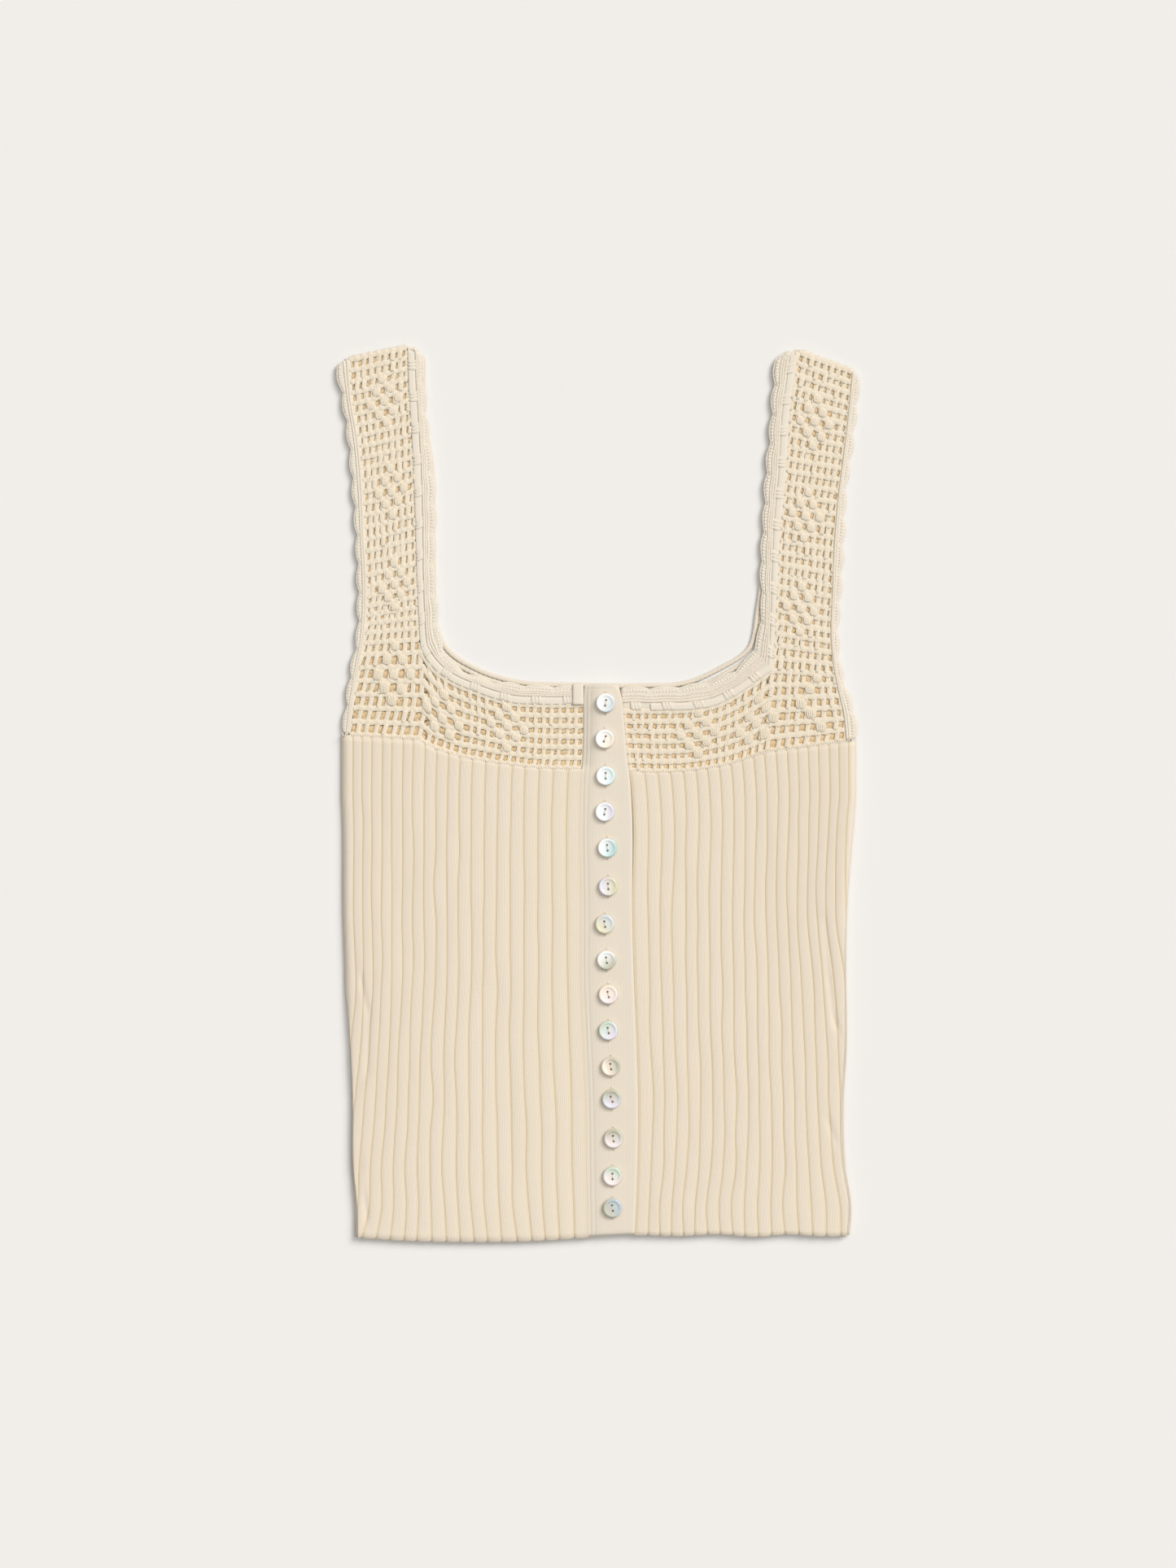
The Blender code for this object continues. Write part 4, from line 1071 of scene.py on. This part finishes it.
def front_body(side_name, front, table, chance, creases, tucked):
    """A front of ribs, from the seam under the yoke down to the hem."""
    side, first, ribs = (column(table, label) for label in ("side", "first", "ribs"))
    seam_y = front.seam()
    facets = (1 - np.cos(math.pi * np.arange(RIB_FACETS) / RIB_FACETS)) / 2
    places = np.append((np.arange(RIBS)[:, None] + facets).ravel(), RIBS)
    body_top, foot = -RIB_STEP, table[-1].y
    levels = np.concatenate([
        np.full(SEAM_ROWS, body_top),
        np.linspace(body_top, foot + HEM_LIP, round((body_top - foot) / RIB_STEP) + 1),
        [foot],
    ])[:, None]
    place = places[None, :]
    down = np.clip((table[0].y - levels) / (table[0].y - foot), 0, 1)
    bend = wander(chance, RIBS + 1, *BEND)(down[:, 0])
    bend[0], bend[-1] = 0, 0
    shift = np.array([np.interp(places, np.arange(RIBS + 1), column_bend) for column_bend in bend.T])
    x = rib_place(side(levels), first(levels), ribs(levels), front.centre(levels), place) + shift
    rise = dome(2 * (place % 1) - 1, RIB_ROUNDNESS)
    rise[:, places < 0.5] = 1
    rise[:, -1] = 0
    shown = ribs(levels)
    past = np.clip((place - shown + ROLL_START) / (RIBS - shown + ROLL_START), 0, 1)
    rise = rise * np.clip(shown - place + 1, 0, 1)
    swelling = wander(chance, RIBS, *SWELL)(down[:, 0]).T
    swell = 1 + np.array([np.interp(places, np.arange(RIBS) + 0.5, row) for row in swelling])
    z = FRONT_FLOOR + RIB_GROOVE + (RIB_CROWN - RIB_GROOVE) * rise * swell
    y = np.broadcast_to(levels, x.shape).copy()
    y += near_hem(y, foot) * (hem_y(x) - foot - HEM_BULGE * rise)
    y[:SEAM_ROWS] += NEAR_SEAM * (seam_y(x[:SEAM_ROWS]) - SEAM_GAP - y[:SEAM_ROWS])
    x[:SEAM_ROWS] += (front.centre(y[:SEAM_ROWS]) - front.centre(levels[:SEAM_ROWS])) * (1 - place / RIBS)
    z -= ROLL_DOWN * past**2 * (z - ROLL_FOOT)
    z -= sunk(x, y, creases)
    outward = np.sign(table[0].side)
    x = x + outward * ROLL_OUT * np.sin(past * math.pi / 2) * (past > 0)
    z[-1] -= HEM_ROUND * (z[-1] - FRONT_FLOOR)
    if tucked:
        for line, (share, lift) in enumerate(TUCKED):
            x[:, line] -= share * RIB_TUCK
            z[:, line] = OVER_FLOOR + lift
    top = set_out(x, y, z)
    bottom = set_out(
        x - outward * ROLL_UNDER * np.sin(past * math.pi / 2), y, np.minimum(FRONT_FLOOR, z - SHELL)
    )
    uv = set_out(place * RIB_STITCHES, y / KNIT_ROW)
    piece = closed_cloth(f"front_body_{side_name}", top, bottom, uv, RIB_COTTON)
    fixed(piece, f"front_{side_name}_rib")


def back_body():
    """The back panel, its underside shallowly ribbed and flat on its crowns."""
    left, right = column(LEFT_RIBS, "side"), column(RIGHT_RIBS, "side")
    below = np.linspace(-RIB_STEP, LEFT_RIBS[-1].y, BACK_LEVELS)
    levels = np.concatenate([np.full(SEAM_ROWS, -RIB_STEP), below])[:, None]
    share = np.linspace(0, 1, BACK_RIBS * 6 + 1)[None, :]
    low, high = left(levels) + BACK_DRAWN_IN, right(levels) - BACK_DRAWN_IN
    x = low * (1 - share) + high * share
    y = np.broadcast_to(levels, x.shape).copy()
    seam_y = left_front.seam()(x) * (1 - past_centre(x)) + right_front.seam()(x) * past_centre(x)
    y[:SEAM_ROWS] += NEAR_SEAM * (seam_y[:SEAM_ROWS] - SEAM_GAP - y[:SEAM_ROWS])
    y += near_hem(y, levels[-1]) * (hem_y(x) + SEAM_GAP - levels[-1])
    groove = BACK_GROOVE * (1 - dome(2 * ((share * BACK_RIBS) % 1) - 1, RIB_ROUNDNESS))
    top, bottom = set_out(x, y, BACK_THICK), set_out(x, y, groove)
    uv = set_out(share * BACK_RIBS * RIB_STITCHES, y / KNIT_ROW)
    return closed_cloth("back_body", top, bottom, uv, RIB_COTTON)


body_back = back_body()
fixed(body_back, "back_rib")
front_body("left", left_front, LEFT_RIBS, chance, LEFT_CREASES, False)
front_body("right", right_front, RIGHT_RIBS, chance, RIGHT_CREASES, True)

# The seam between yoke and ribs is whipped over by hand with small zigzag stitches of the same yarn, one row
# on each front, from the armhole to the placket.
WHIP_PITCH = 2.7
WHIP_RADIUS = 0.36
WHIP_UP = 1.0
WHIP_DOWN = 1.6
WHIP_LEVEL = 4.6
WHIP_ARCH = 0.5
WHIP_FALL = 0.3
WHIP_MARGIN = 1.5

whip = Yarn()
for front in (left_front, right_front):
    seam_y = front.seam()
    ends = sorted((float(front.arm(front.foot)), float(front.centre(front.end_foot))))
    x = np.arange(ends[0] + WHIP_MARGIN, ends[1] - WHIP_MARGIN, WHIP_PITCH)
    up = np.linspace(0, 1, 5)
    for lean in (-0.5, 0.5):
        line_x = x[:, None] + lean * WHIP_PITCH * (1 - up)
        line_y = seam_y(x)[:, None] + WHIP_UP - (WHIP_UP + WHIP_DOWN) * up
        level = WHIP_LEVEL + WHIP_ARCH * np.sin(math.pi * up) - WHIP_FALL * up
        whip.strands(set_out(line_x, line_y, level), WHIP_RADIUS)
fixed(whip.piece("joining_stitches", EDGE_YARN))

# The tape is a flat woven cotton ribbon, threaded over the beading row of each neck edging and held down by
# groups of three posts. Its left end is turned up beside the buttonhole band.
TAPE_LIGHT = (0.765, 0.70, 0.60)
TAPE_DEEP = (0.74, 0.66, 0.54)
TAPE_FROM_NET = 0.3
TAPE_WIDTH = 4.3
TAPE_LEVEL = 3.13
TAPE_THICK = 0.25
TAPE_STEP = 1.0
TAPE_ROW = 0.55
HOLDS = (-1.9, 0.0, 1.9)
HOLD_HALF_WIDTH = 1.2
TAPE_DIP = 0.1
TAPE_DIP_REACH = 3.4
TAPE_LINES = 6
HOLD_ARCH = (0.1, 0.52)
HOLD_LENGTH = BEADING + 0.4
HOLD_TWIST = 0.5
TAPE_START = 1.5
TAPE_STOP = {"left": 9.0, "right": 16.0}
TAPE_END = ((-14.3, 51.5), (-7.9, 63.7))
TAPE_END_LEVEL = 3.95
TAPE_END_CROWN = 0.15
TAPE_CROWN = 0.2
TAPE_EDGE = 0.05
FLAT_TOP = 0.6


def tape_height(tree):
    """Fine cross ribs of the ribbon's weave."""
    row_place, column_place = stitch_place(tree)
    ribs = work_out(tree, "SINE", work_out(tree, "MULTIPLY", row_place, math.tau))
    threads = work_out(tree, "SINE", work_out(tree, "MULTIPLY", column_place, math.tau * 8))
    return work_out(tree, "MULTIPLY_ADD", threads, 0.12, work_out(tree, "MULTIPLY_ADD", ribs, 0.3, 0.5))


TAPE_COTTON = cotton("cream woven tape", TAPE_LIGHT, TAPE_DEEP, tape_height, 0.05 * MM)


def woven(name, points, level, uv):
    """A run of the tape, at a level over the points of its net."""
    top = points.copy()
    top[..., 2] = level
    piece = closed_cloth(name, top, top - TAPE_THICK * UP, uv, TAPE_COTTON)
    fixed(piece, f"neck_{name}")
    return piece


carried = {}
for side, (edging, strip, raised) in neck_edgings.items():
    holds = (np.arange(edging.scallops) + 0.5) * edging.pitch
    s = np.arange(TAPE_START, edging.length - TAPE_STOP[side], TAPE_STEP)[:, None]
    away = np.abs(s - holds).min(axis=1, keepdims=True)
    share = np.linspace(0, 1, TAPE_LINES)[None, :]
    crown = TAPE_CROWN * np.sin(math.pi * share) ** FLAT_TOP - TAPE_EDGE
    level = TAPE_LEVEL - TAPE_DIP * np.exp(-((away / TAPE_DIP_REACH) ** 2)) + crown
    flat = edging.place(s, TAPE_FROM_NET + TAPE_WIDTH * share, 0.0)
    tape = woven(f"tape_{side}", flat, level, set_out(s / TAPE_ROW, share))

    ties = Yarn()
    up = np.linspace(0, 1, 7)
    arch = HOLD_ARCH[0] + HOLD_ARCH[1] * np.sin(math.pi * up) ** FLAT_TOP
    for shift in HOLDS:
        line = edging.place((holds + shift)[:, None], EDGE_SEWN + HOLD_LENGTH * up, arch)
        ties.strands(line, HOLD_HALF_WIDTH, PAIR, twist=HOLD_TWIST * (up - 0.5))
    over_tape = ties.piece(f"beading_posts_{side}", EDGE_YARN)
    fixed(over_tape)
    carried[side] = [raised, tape, over_tape]

(x0, y0), (x1, y1) = TAPE_END
x, y = np.meshgrid(np.linspace(x0, x1, TAPE_LINES), np.linspace(y1, y0, 12))
share = (x - x0) / (x1 - x0)
level = TAPE_END_LEVEL + TAPE_END_CROWN * np.sin(math.pi * share)
carried["left"].append(woven("tape_end", set_out(x, y, 0.0), level, set_out(y / TAPE_ROW, share)))

for side, (edging, strip, _) in neck_edgings.items():
    float(edging.width(edging.reach).mean()) * MM

# The two front bands are cut from a fine plain knit: the button band lies under the buttonhole band, which is
# sewn on at its left edge and has a rounded upper corner.
BAND_LIGHT = (0.733, 0.66, 0.555)
BAND_DEEP = (0.713, 0.63, 0.515)
BAND_STITCH = 1.3
BAND_STEP = 2.0
BAND_THICK = 1.6
SEWN_LEVEL = {"net": 3.35, "ribs": 5.0}
SEWN_OVER = 0.3
SEWN_REACH = 9.0
SEWN_EASE = 1.5
OVER_FREE = ((2.0, 5.8), (1.0, 5.7), (0.35, 5.4), (0.0, 5.0))
OVER_UNDERSIDE = ((0.0, 2.35), (3.2, 2.5), (4.8, 4.2), (7.0, 4.2))
UNDER_START = 5.6
UNDER_TUCK = 2.3
CORNER_RADIUS = 2.2
HEM_LINE = 2.5
HEM_LINE_WIDTH = 0.35
SEWN_LINES = (1.7, 4.1)
SEWN_LINE_WIDTH = 0.3
LINE_DEPTH = 0.16
END_FALL = 0.5

BAND_COTTON = cotton("cream band knit", BAND_LIGHT, BAND_DEEP, stocking_height, 0.08 * MM)
band_left, band_right, band_free = (column(CENTRE, label) for label in ("left", "right", "free"))
band_top, band_foot = CENTRE[0].y, CENTRE[-1].y
levels = np.concatenate([
    np.arange(band_top, CENTRE[3].y, -CORNER_STEP),
    np.linspace(CENTRE[3].y, band_foot, round((CENTRE[3].y - band_foot) / BAND_STEP) + 1),
])[:, None]
below = np.clip(CORNER_RADIUS - (band_top - levels), 0, CORNER_RADIUS)
sewn = band_left(levels) - SEWN_OVER + CORNER_RADIUS - np.sqrt(CORNER_RADIUS**2 - below**2)
free = band_free(levels)
sewn_reach = np.array([0.0, 0.3, 0.8, 1.5, 1.7, 1.9, 2.4, 3.2, 3.9, 4.1, 4.3, 4.8, 6.0, 7.5, SEWN_REACH])
middle_share = np.linspace(0, 1, 9)[1:-1]
free_reach = np.array([2.0, 1.3, 0.8, 0.4, 0.15, 0.0])
middle_start = sewn + SEWN_REACH
middle = middle_start + (free - free_reach[0] - middle_start) * middle_share
x = np.concatenate([sewn + sewn_reach, middle, free - free_reach], axis=1)
band_level = OVER_FLOOR + BAND_THICK
past_seam = NET_END["left"][1] + np.array([-2, 2])
edge_level = np.interp(levels, past_seam, [SEWN_LEVEL["ribs"], SEWN_LEVEL["net"]])
z_sewn = band_level - (band_level - edge_level) * (1 - sewn_reach / SEWN_REACH) ** SEWN_EASE
z_free = np.concatenate([np.full(len(middle_share), band_level), course(*zip(*OVER_FREE))(free_reach)])
z_top = np.concatenate([z_sewn, np.broadcast_to(z_free, (len(levels), len(z_free)))], axis=1)
z_low = np.concatenate([
    course(*zip(*OVER_UNDERSIDE))(sewn_reach),
    np.full(len(middle_share) + len(free_reach), OVER_FLOOR),
])
z_low[-1] = OVER_FLOOR + 0.3
y = levels + near_hem(levels, band_foot) * (hem_y(x) - band_foot)
lines = np.exp(-(((band_top - HEM_LINE - y) / HEM_LINE_WIDTH) ** 2))
for line in SEWN_LINES:
    lines = np.maximum(lines, np.exp(-(((x - sewn - line) / SEWN_LINE_WIDTH) ** 2)))
top = set_out(x, y, z_top - LINE_DEPTH * lines)
top[[0, -1], :, 2] -= END_FALL
uv = set_out(x / BAND_STITCH, y / KNIT_ROW)
over = closed_cloth("buttonhole_band", top, set_out(x, y, z_low), uv, BAND_COTTON)
fixed(over, "placket_over")

share = np.linspace(0, 1, 8)[None, :]
x = (band_left(levels) + UNDER_START) * (1 - share) + (band_right(levels) - UNDER_TUCK) * share
y = levels + near_hem(levels, band_foot) * (hem_y(x) - band_foot + 0.5)
edge = np.minimum(share, 1 - share) * 7
z_top = FRONT_FLOOR + BAND_THICK - 0.4 * np.exp(-((edge / 0.4) ** 2))
uv = set_out(x / BAND_STITCH, y / KNIT_ROW)
under = closed_cloth("button_band", set_out(x, y, z_top), set_out(x, y, FRONT_FLOOR), uv, BAND_COTTON)
fixed(under, "placket_under")

# The buttons are two-hole discs of mother of pearl, sewn on with cream thread. Each blends two tints across
# the
# disc: the tints are the pearl's own colours, and the blend toward one side is partly painted sheen. A
# buttonhole worked with fans of stitches lies upright under each, and its ends show above and below.
BUTTON_RADIUS = 5.5
BUTTON_THICK = 2.2
BUTTON_FLOOR = 6.1
BUTTON_HOLE = 0.7
BUTTON_HOLE_SPACING = 3.2
BUTTON_SIDES = 48
BUTTON_ROUNDED = 0.7
BUTTON_DISH = ((0.9, 0.0), (0.7, -0.28), (0.8, -0.22), (0.9, -0.08))
TINT_AND_SHEEN_RUN = 0.7
THREAD_RADIUS = 0.17
THREADS = (-0.18, 0.18)
THREAD_SINK = (0.5, 1.4)
SLIT_HALF = 6.3
FAN_REACH = 0.9
FAN_STITCHES = 5
FAN_RADIUS = 0.16
GLOSS = {"Roughness": 0.22, "Coat Weight": 0.6, "Coat Roughness": 0.08}
Button = namedtuple("Button", "x y turn toward near far")
WHITE = (0.92, 0.93, 0.93)
AQUA = (0.68, 0.82, 0.83)
TEAL = (0.46, 0.66, 0.66)
LILAC = (0.74, 0.71, 0.80)
PINK = (0.86, 0.74, 0.74)
GOLD = (0.72, 0.66, 0.46)
OLIVE = (0.50, 0.49, 0.38)
PEACH = (0.90, 0.78, 0.66)
GREY = (0.66, 0.70, 0.73)
BLUE_GREY = (0.50, 0.58, 0.65)
GREEN = (0.60, 0.69, 0.58)
BUTTONS = (
    Button(5.0, 52.5, -10, 135, WHITE, GREY), Button(4.5, 31.5, -21, 135, WHITE, PEACH),
    Button(5.0, 10.0, 0, 180, WHITE, AQUA), Button(4.5, -11.0, -11, 180, WHITE, LILAC),
    Button(6.0, -32.0, 6, 160, WHITE, TEAL), Button(6.5, -54.5, 5, 180, LILAC, GOLD),
    Button(4.5, -76.5, 9, 45, GREY, GOLD), Button(5.5, -97.5, 10, 115, WHITE, OLIVE),
    Button(6.5, -117.5, 13, 100, PEACH, PINK), Button(6.5, -138.5, 12, 135, GREEN, LILAC),
    Button(8.0, -159.5, 10, 200, PEACH, OLIVE), Button(8.5, -178.5, 21, 90, OLIVE, LILAC),
    Button(9.5, -201.5, 8, 90, OLIVE, PINK), Button(9.0, -223.5, 2, 70, GREEN, PINK),
    Button(9.0, -242.0, 10, 30, BLUE_GREY, OLIVE),
)


def pearl():
    """Polished mother of pearl: cloudy bands over its tints, which are partly its own colours and partly
    painted sheen, under a clear gloss.
    """
    material, tree, shader = new_material("mother of pearl", GLOSS)
    tint = add_node(tree, "ShaderNodeAttribute", {}, attribute_name="tint")
    spot = add_node(tree, "ShaderNodeTexCoord", {}).outputs["Object"]
    bands = add_node(
        tree,
        "ShaderNodeTexWave",
        {"Vector": spot, "Scale": 55.0, "Distortion": 9.0, "Detail": 3.0, "Detail Scale": 1.2},
    )
    fire = add_node(tree, "ShaderNodeValToRGB", {"Fac": bands.outputs["Fac"]})
    fire.color_ramp.elements[0].color = (0.93, 0.98, 1.0, 1)
    fire.color_ramp.elements[1].color = (1.0, 0.94, 0.96, 1)
    middle = fire.color_ramp.elements.new(0.5)
    middle.color = (0.98, 1.0, 0.92, 1)
    colour = add_node(
        tree,
        "ShaderNodeMix",
        {"Factor": 1.0, "A": tint.outputs["Color"], "B": fire.outputs["Color"]},
        data_type="RGBA",
        blend_type="MULTIPLY",
    )
    tree.links.new(colour.outputs["Result"], shader.inputs["Base Color"])
    return material


PEARL = pearl()
bpy.ops.mesh.primitive_cylinder_add(
    vertices=BUTTON_SIDES,
    radius=BUTTON_RADIUS * MM,
    depth=BUTTON_THICK * MM,
    location=(0, 0, (BUTTON_FLOOR + BUTTON_THICK / 2) * MM),
)
blank = bpy.context.object
bpy.ops.object.transform_apply()
bpy.ops.object.mode_set(mode="EDIT")
bpy.ops.mesh.select_mode(type="FACE")
bpy.ops.mesh.select_all(action="DESELECT")
bpy.ops.object.mode_set(mode="OBJECT")
for polygon in blank.data.polygons:
    polygon.select = polygon.normal.z > 0.9
bpy.ops.object.mode_set(mode="EDIT")
for thickness, depth in BUTTON_DISH:
    bpy.ops.mesh.inset(thickness=thickness * MM)
    bpy.ops.transform.translate(value=(0, 0, depth * MM))
bpy.ops.object.mode_set(mode="OBJECT")
rounding = blank.modifiers.new("rounded rim", "BEVEL")
rounding.width = BUTTON_ROUNDED * MM
rounding.segments = 4
rounding.limit_method = "ANGLE"
rounding.angle_limit = math.radians(50)
bpy.ops.object.modifier_apply(modifier=rounding.name)
for side in (-1, 1):
    bpy.ops.mesh.primitive_cylinder_add(
        vertices=20,
        radius=BUTTON_HOLE * MM,
        depth=3 * BUTTON_THICK * MM,
        location=(0, side * BUTTON_HOLE_SPACING / 2 * MM, (BUTTON_FLOOR + BUTTON_THICK / 2) * MM),
    )
    drill = bpy.context.object
    cut = blank.modifiers.new("thread hole", "BOOLEAN")
    cut.object = drill
    bpy.context.view_layer.objects.active = blank
    bpy.ops.object.modifier_apply(modifier=cut.name)
    bpy.data.objects.remove(drill)
blank.data.materials.clear()
blank.data.materials.append(PEARL)
bpy.ops.object.select_all(action="DESELECT")
blank.select_set(True)
bpy.ops.object.shade_smooth_by_angle(angle=math.radians(35))
disc = blank.data.copy()
bpy.data.objects.remove(blank)

thread, fan_stitches = Yarn(), Yarn()
spread = np.linspace(-math.pi / 2, math.pi / 2, FAN_STITCHES)[:, None]
for number, button in enumerate(BUTTONS, 1):
    mesh = disc.copy()
    turn = math.radians(button.turn)
    flat = np.empty(len(mesh.vertices) * 3)
    mesh.vertices.foreach_get("co", flat)
    points = flat.reshape(-1, 3)
    # Partly painted sheen: each disc's colour runs from its far tint to its near tint toward one side.
    toward = math.radians(button.toward - button.turn)
    across = points[:, 0] * math.cos(toward) + points[:, 1] * math.sin(toward)
    share = np.clip(0.5 + TINT_AND_SHEEN_RUN * across / MM / BUTTON_RADIUS, 0, 1)
    tints = np.array(button.far) * (1 - share[:, None]) + np.array(button.near) * share[:, None]
    layer = mesh.color_attributes.new(name="tint", type="FLOAT_COLOR", domain="POINT")
    layer.data.foreach_set("color", np.column_stack([tints, np.ones(len(tints))]).ravel())
    x = points[:, 0] * math.cos(turn) - points[:, 1] * math.sin(turn) + button.x * MM
    y = points[:, 0] * math.sin(turn) + points[:, 1] * math.cos(turn) + button.y * MM
    mesh.vertices.foreach_set("co", np.column_stack([x, y, points[:, 2]]).ravel())
    mesh.update()
    fixed(in_scene(f"pearl_button_{number:02d}", mesh), f"button_{number:02d}")
    up = np.linspace(-1, 1, 9)
    for shift in THREADS:
        reach = up * (BUTTON_HOLE_SPACING / 2 - 0.5)
        line_x = button.x + shift * math.cos(turn) - reach * math.sin(turn)
        line_y = button.y + shift * math.sin(turn) + reach * math.cos(turn)
        level = BUTTON_FLOOR + BUTTON_THICK - THREAD_SINK[0] - THREAD_SINK[1] * np.abs(up) ** 6
        thread.strands(set_out(line_x, line_y, level)[None], THREAD_RADIUS)
    up = np.linspace(0, 1, 4)
    for end in (-1, 1):
        reach = 0.15 + FAN_REACH * up
        fan_x = button.x + reach * np.sin(spread)
        fan_y = button.y + end * (SLIT_HALF + reach * np.cos(spread))
        level = OVER_FLOOR + BAND_THICK + 0.02 + 0.1 * np.sin(math.pi * up)
        fan_stitches.strands(set_out(fan_x, fan_y, level), FAN_RADIUS)
fixed(thread.piece("button_thread", YARN_COTTON))
buttonholes = fan_stitches.piece("buttonhole_stitches", EDGE_YARN)
fixed(buttonholes)
